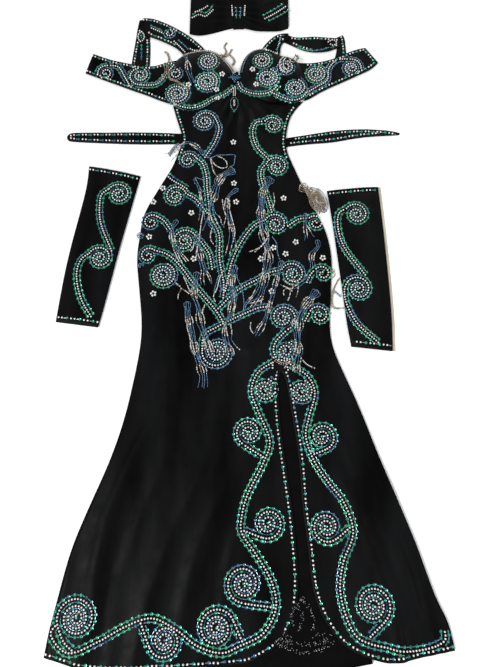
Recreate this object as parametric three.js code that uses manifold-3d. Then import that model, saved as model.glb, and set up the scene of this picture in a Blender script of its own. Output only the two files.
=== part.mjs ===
// A belly dance costume laid flat and seen from above: a dress with bra cups, a beaded fringe,
// two forearm gauntlets and a headband.
// Millimetres. +X is the viewer's right, +Y runs from the hem to the neck and +Z is up from the floor.
import * as THREE from 'three';
import createManifold from 'manifold-3d';

const manifold = await createManifold();
manifold.setup();

// Heights of the layers, from the floor up.
const CLOTH = 1.6;
const BACK_WALL = 1.5;
const INSERT_UNDER = 1.8;
const FRONT_UNDER = 1.8;
const FRONT_OVER_INSERT = 3.8;
const FRONT_OVER_BANDS = 2.2;
const WING_UNDER = 2.0;
const STRAP_UPPER = 2.1;
const CUP_UNDER = 4.5;
const STRAND_CLEARANCE = 0.7;

/** Goes from 0 at a to 1 at b without a corner at either end. */
function smooth(a, b, value) {
  const t = Math.min(1, Math.max(0, (value - a) / (b - a)));
  return t * t * (3 - 2 * t);
}

/** Evenly spaced numbers from first to last, both included. */
function steps(first, last, count) {
  return Array.from({ length: count + 1 }, (_, i) => first + (last - first) * i / count);
}

/** Makes a smooth function of the column key that passes through one column of a table. */
function through(table, key, column) {
  const rows = [...table].sort((a, b) => a[key] - b[key]);
  const secant = (i) => (rows[i + 1][column] - rows[i][column]) / (rows[i + 1][key] - rows[i][key]);
  const slope = rows.map((_, i) => {
    if (i === 0) return secant(0);
    if (i === rows.length - 1) return secant(i - 1);
    return (secant(i - 1) + secant(i)) / 2;
  });
  return (at) => {
    const value = Math.min(rows.at(-1)[key], Math.max(rows[0][key], at));
    const i = Math.min(rows.length - 2, rows.findLastIndex((row) => row[key] <= value));
    const span = rows[i + 1][key] - rows[i][key];
    const t = (value - rows[i][key]) / span;
    const rise = rows[i + 1][column] - rows[i][column];
    const bend = t * (1 - t) * (slope[i] * span * (1 - t) - slope[i + 1] * span * t + rise * (2 * t - 1));
    return rows[i][column] + rise * t + bend;
  };
}

/** The nearest place on a path of [x, y] points: how far off it is, and how far along from 0 to 1. */
function nearest(path, x, y) {
  let best = { off: Infinity, along: 0 };
  let done = 0;
  for (let i = 0; i + 1 < path.length; i += 1) {
    const [x1, y1] = path[i];
    const [dx, dy] = [path[i + 1][0] - x1, path[i + 1][1] - y1];
    const length = Math.hypot(dx, dy);
    const t = Math.min(1, Math.max(0, ((x - x1) * dx + (y - y1) * dy) / length ** 2));
    const off = Math.hypot(x - x1 - t * dx, y - y1 - t * dy);
    if (off < best.off) best = { off, along: done + t * length };
    done += length;
  }
  return { off: best.off, along: best.along / done };
}

/** Joins rows of [x, y, z] points into one surface that faces up. Points that coincide become one. */
function surface(rows) {
  const points = [];
  const known = new Map();
  const index = (point) => {
    const key = point.map((value) => value.toFixed(3)).join();
    if (!known.has(key)) {
      known.set(key, points.length);
      points.push(point);
    }
    return known.get(key);
  };
  let faces = [];
  for (let r = 0; r + 1 < rows.length; r += 1) {
    for (let c = 0; c + 1 < rows[r].length; c += 1) {
      if (rows[r][c] === null || rows[r][c + 1] === null) continue;
      const [a, b] = [index(rows[r][c]), index(rows[r][c + 1])];
      const [d, e] = [index(rows[r + 1][c]), index(rows[r + 1][c + 1])];
      faces.push([a, d, b], [b, d, e]);
    }
  }
  faces = faces.filter(([a, b, c]) => a !== b && b !== c && c !== a);
  const turn = faces.reduce((sum, face) => sum + area(points, face), 0);
  if (turn < 0) faces = faces.map(([a, b, c]) => [a, c, b]);
  return { points, faces };
}

/** Twice the area of a triangle seen from above, less than zero when it faces down. */
function area(points, [a, b, c]) {
  const [ax, ay] = points[a];
  const [bx, by] = points[b];
  const [cx, cy] = points[c];
  return (bx - ax) * (cy - ay) - (by - ay) * (cx - ax);
}

/** Height of a surface at x, y, or null beside it. */
function heightAt({ points, faces }, x, y) {
  for (const face of faces) {
    const [a, b, c] = face.map((i) => points[i]);
    const whole = area(points, face);
    const u = ((b[0] - x) * (c[1] - y) - (b[1] - y) * (c[0] - x)) / whole;
    const v = ((c[0] - x) * (a[1] - y) - (c[1] - y) * (a[0] - x)) / whole;
    if (u >= 0 && v >= 0 && u + v <= 1) return u * a[2] + v * b[2] + (1 - u - v) * c[2];
  }
  return null;
}

/** A closed mesh from points and triangles. */
function solid(name, points, faces, material) {
  const geometry = new THREE.BufferGeometry();
  geometry.setAttribute('position', new THREE.Float32BufferAttribute(points.flat(), 3));
  geometry.setIndex(faces.flat());
  geometry.computeVertexNormals();
  const mesh = new THREE.Mesh(geometry, material());
  mesh.name = name;
  return mesh;
}

/** A cloth wall: the surface is its upper side, and its lower side lies straight below. */
function clothWall(name, { points, faces }, wall, material) {
  const count = points.length;
  const edges = new Set();
  for (const [a, b, c] of faces) [[a, b], [b, c], [c, a]].forEach((edge) => edges.add(edge.join()));
  const lower = points.map(([x, y, z]) => [x, y, z - wall]);
  const under = faces.map(([a, b, c]) => [a + count, c + count, b + count]);
  const sides = [];
  for (const edge of edges) {
    const [a, b] = edge.split(',').map(Number);
    if (edges.has([b, a].join())) continue;
    sides.push([a, a + count, b + count], [a, b + count, b]);
  }
  return solid(name, [...points, ...lower], [...faces, ...under, ...sides], material);
}

/** Rows of points between the two ends of each table row. */
function ruled(table, across, height) {
  return table.map(({ x1, y1, x2, y2 }, r) => steps(0, 1, across).map((t) => {
    const [x, y] = [x1 + (x2 - x1) * t, y1 + (y2 - y1) * t];
    return [x, y, height(t, r / (table.length - 1), x, y)];
  }));
}

const black = () => new THREE.MeshStandardMaterial({ color: 0x17181b, roughness: 0.62, metalness: 0 });
const lining = () => new THREE.MeshStandardMaterial({ color: 0x0d0e10, roughness: 0.8, metalness: 0 });
const blueBeads = () => new THREE.MeshStandardMaterial({ color: 0x6c8fae, roughness: 0.3, metalness: 0.1 });
const tanBeads = () => new THREE.MeshStandardMaterial({ color: 0xc9b896, roughness: 0.35, metalness: 0.05 });

const garment = new THREE.Group();
garment.name = 'belly_dance_costume';

// The dress front. Its side edges at each height.
const SIDES = [
  { y: 777, left: -176, right: 121 },
  { y: 760, left: -171, right: 107 },
  { y: 735, left: -163.5, right: 91.5 },
  { y: 710, left: -156, right: 84.5 },
  { y: 685, left: -150.5, right: 80.5 },
  { y: 660, left: -156, right: 80.5 },
  { y: 635, left: -163, right: 87.5 },
  { y: 610, left: -172, right: 97.5 },
  { y: 580, left: -188, right: 109 },
  { y: 550, left: -203, right: 121 },
  { y: 520, left: -218.5, right: 133.5 },
  { y: 490, left: -230, right: 148 },
  { y: 460, left: -232.5, right: 160.5 },
  { y: 400, left: -237, right: 171 },
  { y: 330, left: -228.5, right: 167 },
  { y: 250, left: -219, right: 161.5 },
  { y: 210, left: -219.5, right: 164 },
  { y: 170, left: -224, right: 178.5 },
  { y: 90, left: -236.5, right: 211 },
  { y: -10, left: -264, right: 246 },
  { y: -110, left: -303, right: 284 },
  { y: -160, left: -321, right: 302 },
  { y: -260, left: -341.5, right: 332 },
  { y: -300, left: -349, right: 347 },
  { y: -350, left: -355, right: 355 },
];
const leftSide = through(SIDES, 'y', 'left');
const rightSide = through(SIDES, 'y', 'right');

// The seam under the bust, where the front goes up behind the cups.
const BUST_SEAM = [
  { x: -176, y: 771 },
  { x: -156, y: 766 },
  { x: -137, y: 761 },
  { x: -118, y: 768 },
  { x: -92, y: 786 },
  { x: -62, y: 803 },
  { x: -30, y: 820 },
  { x: -10, y: 808 },
  { x: 14, y: 795 },
  { x: 41, y: 783 },
  { x: 78, y: 784 },
  { x: 98, y: 783 },
  { x: 121, y: 781 },
];
const bustSeam = through(BUST_SEAM, 'x', 'y');
const SEAM_ROW = 777;

// The narrow point of the front that rises between the cups to the bottom of the neckline.
const POINT = { x: -31, rise: 47, half: 19 };
const middlePoint = (x) => POINT.rise * (1 - smooth(0, POINT.half, Math.abs(x - POINT.x)));

// How far the hem lies above or below its middle row.
const HEM = [
  { x: -355, rise: 9 },
  { x: -325, rise: 1 },
  { x: -293, rise: -8 },
  { x: -241, rise: -12 },
  { x: -172, rise: -10 },
  { x: -86, rise: -6 },
  { x: 0, rise: 0 },
  { x: 232, rise: 0 },
  { x: 282, rise: 6 },
  { x: 309, rise: 13 },
  { x: 355, rise: 19 },
];
const hemRise = through(HEM, 'x', 'rise');
const HEM_ROW = -350;

// The two edges of the slit in the skirt, which turn into the hem in round corners.
const SLIT = [
  { y: 167, left: 61, right: 61 },
  { y: 140, left: 56, right: 71 },
  { y: 100, left: 56.5, right: 76 },
  { y: 60, left: 58.5, right: 83 },
  { y: -20, left: 68, right: 93 },
  { y: -100, left: 79, right: 96.5 },
  { y: -150, left: 83.5, right: 103.5 },
  { y: -240, left: 87, right: 112 },
  { y: -265, left: 82.5, right: 121 },
  { y: -290, left: 73.5, right: 134.5 },
  { y: -310, left: 62.5, right: 149 },
  { y: -325, left: 49, right: 165 },
  { y: -338, left: 30, right: 188 },
  { y: -350, left: -4, right: 232 },
];
const SLIT_TOP = 167;
const slitLeft = through(SLIT, 'y', 'left');
const slitRight = through(SLIT, 'y', 'right');

// The insert behind the slit.
const INSERT_TOP = 190;
const INSERT = [
  { y: INSERT_TOP, left: 48, right: 78 },
  { y: 60, left: 22, right: 108 },
  { y: -120, left: -22, right: 150 },
  { y: -352, left: -80, right: 212 },
];
const insertLeft = through(INSERT, 'y', 'left');
const insertRight = through(INSERT, 'y', 'right');

// The largest folds of the skirt and body: soft ridges along a path, flat again at both ends,
// except that a fold that runs out at the hem keeps its height there.
const FOLDS = [
  {
    high: 3.6, wide: 21, toHem: true,
    path: [[-176, 262], [-212, 176], [-251, 78], [-289, -4], [-322, -100], [-338, -345]],
  },
  {
    high: 3.6, wide: 24, toHem: true,
    path: [[-109, 241], [-153, 150], [-192, 63], [-235, -30], [-268, -120], [-292, -355]],
  },
  {
    high: 3.2, wide: 22, toHem: true,
    path: [[-54, 44], [-81, -8], [-115, -74], [-150, -150], [-185, -240], [-205, -355]],
  },
  {
    high: 3.6, wide: 24, toHem: true,
    path: [[-13, 25], [-36, -30], [-70, -101], [-94, -161], [-121, -235], [-138, -355]],
  },
  { high: 2.6, wide: 22, toHem: true, path: [[0, -48], [-26, -135], [-43, -210], [-56, -352]] },
  {
    high: 3.4, wide: 22, toHem: true,
    path: [[104, 130], [169, 53], [209, -44], [252, -135], [288, -225], [308, -345]],
  },
  { high: 3.4, wide: 22, toHem: true, path: [[142, 16], [182, -66], [222, -161], [250, -245], [262, -345]] },
  { high: 2.8, wide: 20, toHem: true, path: [[127, -48], [158, -135], [180, -218], [205, -340]] },
  { high: 2.4, wide: 14, toHem: false, path: [[-66, 224], [-40, 208], [0, 200], [34, 206], [62, 222]] },
  { high: 2.4, wide: 14, toHem: false, path: [[40, 556], [10, 528], [-28, 498], [-60, 480]] },
  { high: 2.4, wide: 16, toHem: false, path: [[-150, 560], [-110, 520], [-60, 500]] },
];
// Gathers that fan out below the middle of the bust.
const GATHERS = {
  x: -29, y: 812, high: 2.6, count: 9, spread: 1.35, start: 14, full: 40, fade: 95, end: 165,
};

function gather(x, y) {
  const out = Math.hypot(x - GATHERS.x, y - GATHERS.y);
  const angle = Math.atan2(x - GATHERS.x, GATHERS.y - y);
  if (Math.abs(angle) > GATHERS.spread) return 0;
  const reach = smooth(GATHERS.start, GATHERS.full, out) * (1 - smooth(GATHERS.fade, GATHERS.end, out));
  const wave = (1 + Math.cos(Math.PI * GATHERS.count * angle / GATHERS.spread)) / 2;
  return GATHERS.high * reach * wave * (1 - smooth(0.8, 1, Math.abs(angle) / GATHERS.spread));
}

function folds(x, y) {
  let high = gather(x, y);
  for (const fold of FOLDS) {
    const { off, along } = nearest(fold.path, x, y);
    const end = fold.toHem ? 1 : 1 - smooth(0.72, 1, along);
    high += fold.high * smooth(0, 0.28, along) * end * Math.exp(-((off / fold.wide) ** 2));
  }
  const beside = Math.min(x - leftSide(y), rightSide(y) - x);
  return high * smooth(0, 22, beside) * smooth(15, 34, bustSeam(x) - y);
}

/** Height of the lower side of the dress front, before its folds. */
function frontUnder(x, y) {
  const outside = Math.max(insertLeft(y) - x, x - insertRight(y), y - INSERT_TOP);
  const overInsert = (FRONT_OVER_INSERT - FRONT_UNDER) * (1 - smooth(14, 44, outside));
  const overBands = (FRONT_OVER_BANDS - FRONT_UNDER) * smooth(600, 645, y);
  return FRONT_UNDER + overInsert + overBands;
}

// Above the slit the two halves of the front share a middle line, which starts at the gathers.
const LEFT_COLUMNS = 13;
const RIGHT_COLUMNS = 11;
const FRONT_ROWS = [
  ...steps(SEAM_ROW, 600, 11),
  ...steps(580, 200, 16),
  ...steps(SLIT_TOP, -230, 12),
  ...steps(-258, HEM_ROW, 5),
];

function frontRow(row) {
  const shared = slitLeft(SLIT_TOP) + (GATHERS.x - slitLeft(SLIT_TOP)) * smooth(SLIT_TOP, 720, row);
  const [left, right] = row < SLIT_TOP ? [slitLeft(row), slitRight(row)] : [shared, shared];
  const crowd = 1 + 0.35 * smooth(450, 700, row);
  const place = (x) => {
    const seam = (bustSeam(x) - SEAM_ROW) * smooth(640, SEAM_ROW, row);
    const rise = seam + middlePoint(x) * smooth(735, SEAM_ROW, row);
    const y = row + rise + hemRise(x) * smooth(-200, HEM_ROW, row);
    return [x, y, frontUnder(x, y) + CLOTH + folds(x, y)];
  };
  const half = (middle, side, columns) => {
    return steps(0, 1, columns).map((t) => middle + (side - middle) * t ** crowd);
  };
  return [
    ...half(left, leftSide(row), LEFT_COLUMNS).reverse().map(place),
    null,
    ...half(right, rightSide(row), RIGHT_COLUMNS).map(place),
  ];
}
const front = surface(FRONT_ROWS.map(frontRow));
garment.add(clothWall('front_panel', front, CLOTH, black));

// The insert lies on the back and shows through the slit, with a few level wrinkles.
const INSERT_HEM = [
  { x: -80, rise: -4 },
  { x: -24, rise: -8 },
  { x: 86, rise: -13 },
  { x: 164, rise: -7 },
  { x: 212, rise: 1 },
];
const insertRise = through(INSERT_HEM, 'x', 'rise');
const insertRows = steps(INSERT_TOP, -352, 22).map((row) => steps(0, 1, 8).map((t) => {
  const x = insertLeft(row) + (insertRight(row) - insertLeft(row)) * t;
  return [x, row + insertRise(x) * smooth(-260, -352, row), INSERT_UNDER + CLOTH];
}));
garment.add(clothWall('slit_insert', surface(insertRows), CLOTH, lining));

// The back lies on the floor. Its top edge is low, and its sides and hem lie just inside the front's.
const BACK_TOP = 622;
const BACK_HEM_RISE = 6;
const BACK_INSET = 1.5;
const backRows = steps(BACK_TOP, HEM_ROW, 20).map((row) => steps(0, 1, 6).map((t) => {
  const [left, right] = [leftSide(row) + BACK_INSET, rightSide(row) - BACK_INSET];
  const x = left + (right - left) * t;
  return [x, row + (hemRise(x) + BACK_HEM_RISE) * smooth(-200, HEM_ROW, row), BACK_WALL];
}));
garment.add(clothWall('back_panel', surface(backRows), BACK_WALL, lining));

// Bra cups: hollow domes on a closed outline, with a flat rim.
const CUP_WALL = 2.6;
const CUP_RIM = 1.6;
const CUP_ROUND = 28;
const CUP_RINGS = [1, 0.9, 0.76, 0.6, 0.42, 0.22];
const CUPS = {
  cup_left: {
    peak: [-103, 838],
    high: 38,
    outline: [
      [-157, 907], [-130, 915], [-103, 920], [-78, 911], [-56, 888], [-38, 864], [-29.6, 842],
      [-31, 822], [-44, 808], [-66, 794], [-92, 780], [-116, 762], [-137, 755], [-156, 761],
      [-173, 773], [-187, 795], [-192, 828], [-185, 868], [-170, 895],
    ],
  },
  cup_right: {
    peak: [54, 843],
    high: 38,
    outline: [
      [-28, 842], [-24, 872], [-8, 908], [12, 923], [28, 925], [52, 915], [72, 904], [92, 902],
      [109, 891], [124, 864], [131, 831], [130, 802], [122, 785], [98, 777], [78, 778],
      [41, 777], [12, 790], [-8, 802], [-24, 816],
    ],
  },
};

function cupSurface({ peak, high, outline }, under, wall, inset) {
  const points = outline.map(([x, y]) => new THREE.Vector3(x, y, 0));
  const curve = new THREE.CatmullRomCurve3(points, true, 'centripetal');
  const rim = curve.getSpacedPoints(CUP_ROUND).slice(0, -1);
  const rings = CUP_RINGS.map((ring) => rim.map(({ x, y }) => {
    const [dx, dy] = [x - peak[0], y - peak[1]];
    const scale = ring * (1 - inset / Math.hypot(dx, dy));
    return [peak[0] + dx * scale, peak[1] + dy * scale, under + wall + high * (1 - ring ** 2.1)];
  }));
  return { rings, top: [peak[0], peak[1], under + wall + high] };
}

function cup(name, shape) {
  const outer = cupSurface(shape, CUP_UNDER, CUP_RIM, 0);
  const inner = cupSurface({ ...shape, high: shape.high - CUP_WALL + CUP_RIM }, CUP_UNDER, 0, CUP_WALL);
  const foot = outer.rings[0].map(([x, y]) => [x, y, CUP_UNDER]);
  const rings = [...outer.rings.toReversed(), foot, ...inner.rings];
  const points = [...rings.flat(), outer.top, inner.top];
  const faces = [];
  for (let i = 0; i < CUP_ROUND; i += 1) {
    const j = (i + 1) % CUP_ROUND;
    for (let r = 0; r + 1 < rings.length; r += 1) {
      const [a, b] = [r * CUP_ROUND + i, r * CUP_ROUND + j];
      const [d, e] = [a + CUP_ROUND, b + CUP_ROUND];
      faces.push([a, b, d], [b, e, d]);
    }
    const last = (rings.length - 1) * CUP_ROUND;
    faces.push([j, i, points.length - 2], [last + i, last + j, points.length - 1]);
  }
  return solid(name, points, faces, black);
}
for (const [name, shape] of Object.entries(CUPS)) garment.add(cup(name, shape));

// Flat strips: point 1 and point 2 are the two edges, from one end of the strip to the other.
const STRIPS = {
  wing_left: [
    { x1: -369, y1: 913, x2: -383, y2: 859 },
    { x1: -347, y1: 903, x2: -352, y2: 846 },
    { x1: -323, y1: 895, x2: -320, y2: 832 },
    { x1: -280, y1: 884, x2: -262, y2: 808 },
    { x1: -234, y1: 876, x2: -236, y2: 798 },
    { x1: -213, y1: 881, x2: -214, y2: 788 },
    { x1: -195, y1: 890, x2: -196, y2: 780 },
    { x1: -163, y1: 896, x2: -177.8, y2: 774 },
  ],
  wing_right: [
    { x1: 98, y1: 887, x2: 123.5, y2: 784 },
    { x1: 115, y1: 888, x2: 135, y2: 788 },
    { x1: 138, y1: 886, x2: 150, y2: 799 },
    { x1: 162, y1: 889, x2: 173, y2: 814 },
    { x1: 200, y1: 900, x2: 208, y2: 831 },
    { x1: 228, y1: 916, x2: 244, y2: 850 },
    { x1: 250, y1: 925, x2: 268, y2: 862 },
    { x1: 264, y1: 929, x2: 284, y2: 871 },
    { x1: 272, y1: 930, x2: 300, y2: 888 },
  ],
  strap_left_front: [
    { x1: -258, y1: 1016, x2: -248, y2: 968 },
    { x1: -240, y1: 1017, x2: -236, y2: 961 },
    { x1: -222, y1: 1011, x2: -221, y2: 955 },
    { x1: -200, y1: 1000, x2: -203, y2: 946.5 },
    { x1: -180, y1: 989, x2: -186, y2: 937.5 },
    { x1: -160, y1: 976, x2: -173, y2: 929 },
    { x1: -138, y1: 958, x2: -163, y2: 919 },
    { x1: -115, y1: 936.5, x2: -156, y2: 909 },
    { x1: -98, y1: 912, x2: -148, y2: 898 },
  ],
  strap_left_back: [
    { x1: -266, y1: 1012, x2: -248, y2: 1016 },
    { x1: -269, y1: 990, x2: -242, y2: 988 },
    { x1: -271, y1: 962, x2: -239, y2: 961 },
    { x1: -273, y1: 938, x2: -236, y2: 938 },
    { x1: -276, y1: 907, x2: -235, y2: 907 },
    { x1: -278, y1: 880, x2: -235, y2: 878 },
    { x1: -279, y1: 868, x2: -235, y2: 866 },
  ],
  strap_right_front: [
    { x1: 24, y1: 914, x2: 64, y2: 896 },
    { x1: 28, y1: 927, x2: 70, y2: 904 },
    { x1: 36, y1: 940, x2: 71, y2: 920 },
    { x1: 48, y1: 955, x2: 73, y2: 935 },
    { x1: 60, y1: 966, x2: 78, y2: 945 },
    { x1: 74, y1: 972, x2: 84, y2: 951 },
    { x1: 91, y1: 972, x2: 92, y2: 955 },
  ],
  strap_right_middle: [
    { x1: 82, y1: 969, x2: 77, y2: 950 },
    { x1: 93, y1: 969, x2: 88, y2: 945 },
    { x1: 106, y1: 961, x2: 101, y2: 938 },
    { x1: 131, y1: 963, x2: 124, y2: 924 },
    { x1: 150, y1: 963.5, x2: 148, y2: 918.5 },
    { x1: 167, y1: 962, x2: 166, y2: 918 },
    { x1: 185, y1: 960, x2: 186, y2: 921 },
    { x1: 202, y1: 958, x2: 204, y2: 929 },
    { x1: 213, y1: 957, x2: 214, y2: 934 },
  ],
  strap_right_back: [
    { x1: 203, y1: 960, x2: 221, y2: 969 },
    { x1: 205, y1: 945, x2: 226, y2: 956 },
    { x1: 206, y1: 930, x2: 226, y2: 941 },
    { x1: 203, y1: 915, x2: 227, y2: 923 },
    { x1: 199, y1: 900, x2: 227, y2: 911 },
    { x1: 197, y1: 889, x2: 227, y2: 900 },
  ],
  waist_band_left: [
    { x1: -411, y1: 692, x2: -411, y2: 687 },
    { x1: -408, y1: 698, x2: -407, y2: 680 },
    { x1: -400, y1: 702, x2: -398, y2: 677.5 },
    { x1: -325, y1: 701, x2: -325, y2: 674 },
    { x1: -240, y1: 703, x2: -240, y2: 670.5 },
    { x1: -152, y1: 698.5, x2: -151, y2: 672.5 },
    { x1: -138, y1: 698, x2: -138, y2: 671 },
  ],
  waist_band_right: [
    { x1: 66, y1: 684, x2: 66, y2: 662 },
    { x1: 83, y1: 688, x2: 84, y2: 665.5 },
    { x1: 136, y1: 696.5, x2: 139, y2: 673.5 },
    { x1: 192, y1: 707.5, x2: 186, y2: 675 },
    { x1: 250, y1: 711, x2: 240, y2: 689 },
    { x1: 300, y1: 708.5, x2: 300, y2: 693.5 },
    { x1: 328, y1: 703.5, x2: 326, y2: 694.5 },
    { x1: 337, y1: 700, x2: 336, y2: 696 },
  ],
};
// Where each strip lies: the height of its lower side at its first and last end.
const LEVELS = {
  wing_left: { start: WING_UNDER, end: WING_UNDER, across: 3 },
  wing_right: { start: WING_UNDER, end: WING_UNDER, across: 3 },
  strap_left_front: { start: STRAP_UPPER, end: STRAP_UPPER, across: 2 },
  strap_left_back: { start: 0, end: 0, across: 2 },
  strap_right_front: { start: STRAP_UPPER, end: STRAP_UPPER, across: 2 },
  strap_right_middle: { start: 0, end: STRAP_UPPER, across: 2 },
  strap_right_back: { start: 0, end: 0, across: 2 },
  waist_band_left: { start: 0, end: 0, across: 2 },
  waist_band_right: { start: 0, end: 0, across: 2 },
};
const strips = {};
for (const [name, table] of Object.entries(STRIPS)) {
  const { start, end, across } = LEVELS[name];
  const level = (t, s) => start + (end - start) * smooth(0.2, 0.8, s) + CLOTH;
  strips[name] = surface(ruled(table, across, level));
  garment.add(clothWall(name, strips[name], CLOTH, black));
}

// Forearm gauntlets: flat sleeves with a back layer on the floor and a slightly full front layer.
const GAUNTLETS = {
  gauntlet_left: [
    { x1: -355, y1: 615, x2: -240, y2: 590 },
    { x1: -354.5, y1: 572, x2: -249, y2: 545 },
    { x1: -362, y1: 520, x2: -260, y2: 492 },
    { x1: -375, y1: 446, x2: -273, y2: 428 },
    { x1: -385, y1: 372, x2: -286, y2: 358 },
    { x1: -391.5, y1: 295, x2: -300, y2: 280 },
    { x1: -394, y1: 259, x2: -307, y2: 248 },
  ],
  gauntlet_right: [
    { x1: 167, y1: 554, x2: 279, y2: 564 },
    { x1: 175, y1: 491, x2: 283, y2: 490 },
    { x1: 183, y1: 405, x2: 286, y2: 396 },
    { x1: 190, y1: 330, x2: 288, y2: 325 },
    { x1: 195, y1: 262, x2: 288, y2: 255 },
    { x1: 202, y1: 208, x2: 285, y2: 199 },
  ],
};
const SLEEVE_FULL = 3.4;
const SLEEVE_SEAM_GAP = 0.3;
const SLEEVE_INSET = 1.2;
for (const [name, table] of Object.entries(GAUNTLETS)) {
  const full = (t) => BACK_WALL + SLEEVE_SEAM_GAP + CLOTH + SLEEVE_FULL * (4 * t * (1 - t)) ** 0.8;
  garment.add(clothWall(`${name}_front`, surface(ruled(table, 8, full)), CLOTH, black));
  const inner = table.map(({ x1, y1, x2, y2 }) => ({ x1: x1 + SLEEVE_INSET, y1, x2: x2 - SLEEVE_INSET, y2 }));
  garment.add(clothWall(`${name}_back`, surface(ruled(inner, 2, () => BACK_WALL)), BACK_WALL, lining));
}

// Headband: a wide flat loop, pinched in the middle by a short wrap, with gathers on both sides.
const HEADBAND = [
  { x: -144, low: 972, high: 1092 },
  { x: -134, low: 966, high: 1096 },
  { x: -118, low: 967, high: 1097 },
  { x: -94, low: 972, high: 1096 },
  { x: -67, low: 981, high: 1090 },
  { x: -42, low: 989, high: 1082 },
  { x: -15, low: 990, high: 1081 },
  { x: 8, low: 981, high: 1088 },
  { x: 40, low: 980, high: 1093 },
  { x: 72, low: 980, high: 1094 },
  { x: 88, low: 983, high: 1092 },
  { x: 93, low: 990, high: 1086 },
];
const BAND_MIDDLE = -28;
const BAND_GATHERS = { high: 2.2, count: 5, near: 10, full: 26, fade: 45, end: 100 };
const bandLow = through(HEADBAND, 'x', 'low');
const bandHigh = through(HEADBAND, 'x', 'high');

function bandHeight(x, t) {
  const out = Math.abs(x - BAND_MIDDLE);
  const { high, count, near, full, fade, end } = BAND_GATHERS;
  const reach = (0.4 + 0.6 * smooth(near, full, out)) * (1 - smooth(fade, end, out));
  const wave = (1 + Math.cos(2 * Math.PI * count * t)) / 2;
  const fullness = 1.4 * (4 * t * (1 - t)) ** 0.7;
  return BACK_WALL + SLEEVE_SEAM_GAP + CLOTH + fullness + high * reach * wave * smooth(0, 0.1, t * (1 - t));
}

function bandRows(from, to, columns, across, inset, height) {
  return steps(from, to, columns).map((x) => steps(0, 1, across).map((t) => {
    const [low, high] = [bandLow(x) + inset, bandHigh(x) - inset];
    return [x, low + (high - low) * t, height(x, t)];
  }));
}
const bandFront = surface(bandRows(-144, 93, 14, 15, 0, bandHeight));
garment.add(clothWall('headband_front', bandFront, CLOTH, black));
const bandBack = surface(bandRows(-143, 92, 12, 2, 1, () => BACK_WALL));
garment.add(clothWall('headband_back', bandBack, BACK_WALL, lining));

// The wrap goes over the gathers and down to the floor past both edges of the band.
const WRAP = { half: 12, clear: 0.7, beside: 1.8, reach: [-5, -2.5, 0, 2.5, 5], columns: 4, across: 12 };

function wrapSection(x) {
  const inside = steps(0.04, 0.96, WRAP.across).map((t) => {
    const y = bandLow(x) + (bandHigh(x) - bandLow(x)) * t;
    const high = Math.max(...WRAP.reach.map((near) => heightAt(bandFront, x, y + near) ?? 0));
    return [y, high + WRAP.clear];
  });
  const [first, last] = [inside[0][1], inside.at(-1)[1]];
  const [low, high] = [bandLow(x) - WRAP.beside, bandHigh(x) + WRAP.beside];
  const inner = [[low, 0], [low, first], ...inside, [high, last], [high, 0]];
  const outer = inner.map(([y, z], i) => {
    const aside = i < 2 ? -CLOTH : i > inner.length - 3 ? CLOTH : 0;
    return [y + aside, z > 0 ? z + CLOTH : 0];
  });
  return { inner: inner.map(([y, z]) => [x, y, z]), outer: outer.map(([y, z]) => [x, y, z]) };
}

/** A channel: each section has an inner and an outer line, and its faces close all round. */
function channel(name, sections, material) {
  const size = sections[0].inner.length;
  const points = sections.flatMap(({ inner, outer }) => [...inner, ...outer.toReversed()]);
  const faces = [];
  for (let s = 0; s + 1 < sections.length; s += 1) {
    for (let k = 0; k < 2 * size; k += 1) {
      const [a, b] = [s * 2 * size + k, s * 2 * size + (k + 1) % (2 * size)];
      faces.push([a, b, a + 2 * size], [b, b + 2 * size, a + 2 * size]);
    }
  }
  const end = (sections.length - 1) * 2 * size;
  for (let k = 0; k + 1 < size; k += 1) {
    const [p, q, u, v] = [k, k + 1, 2 * size - 2 - k, 2 * size - 1 - k];
    faces.push([p, u, q], [p, v, u], [end + p, end + q, end + u], [end + p, end + u, end + v]);
  }
  return solid(name, points, faces, material);
}
const wrapSections = steps(BAND_MIDDLE - WRAP.half, BAND_MIDDLE + WRAP.half, WRAP.columns).map(wrapSection);
garment.add(channel('headband_wrap', wrapSections, black));

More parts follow.
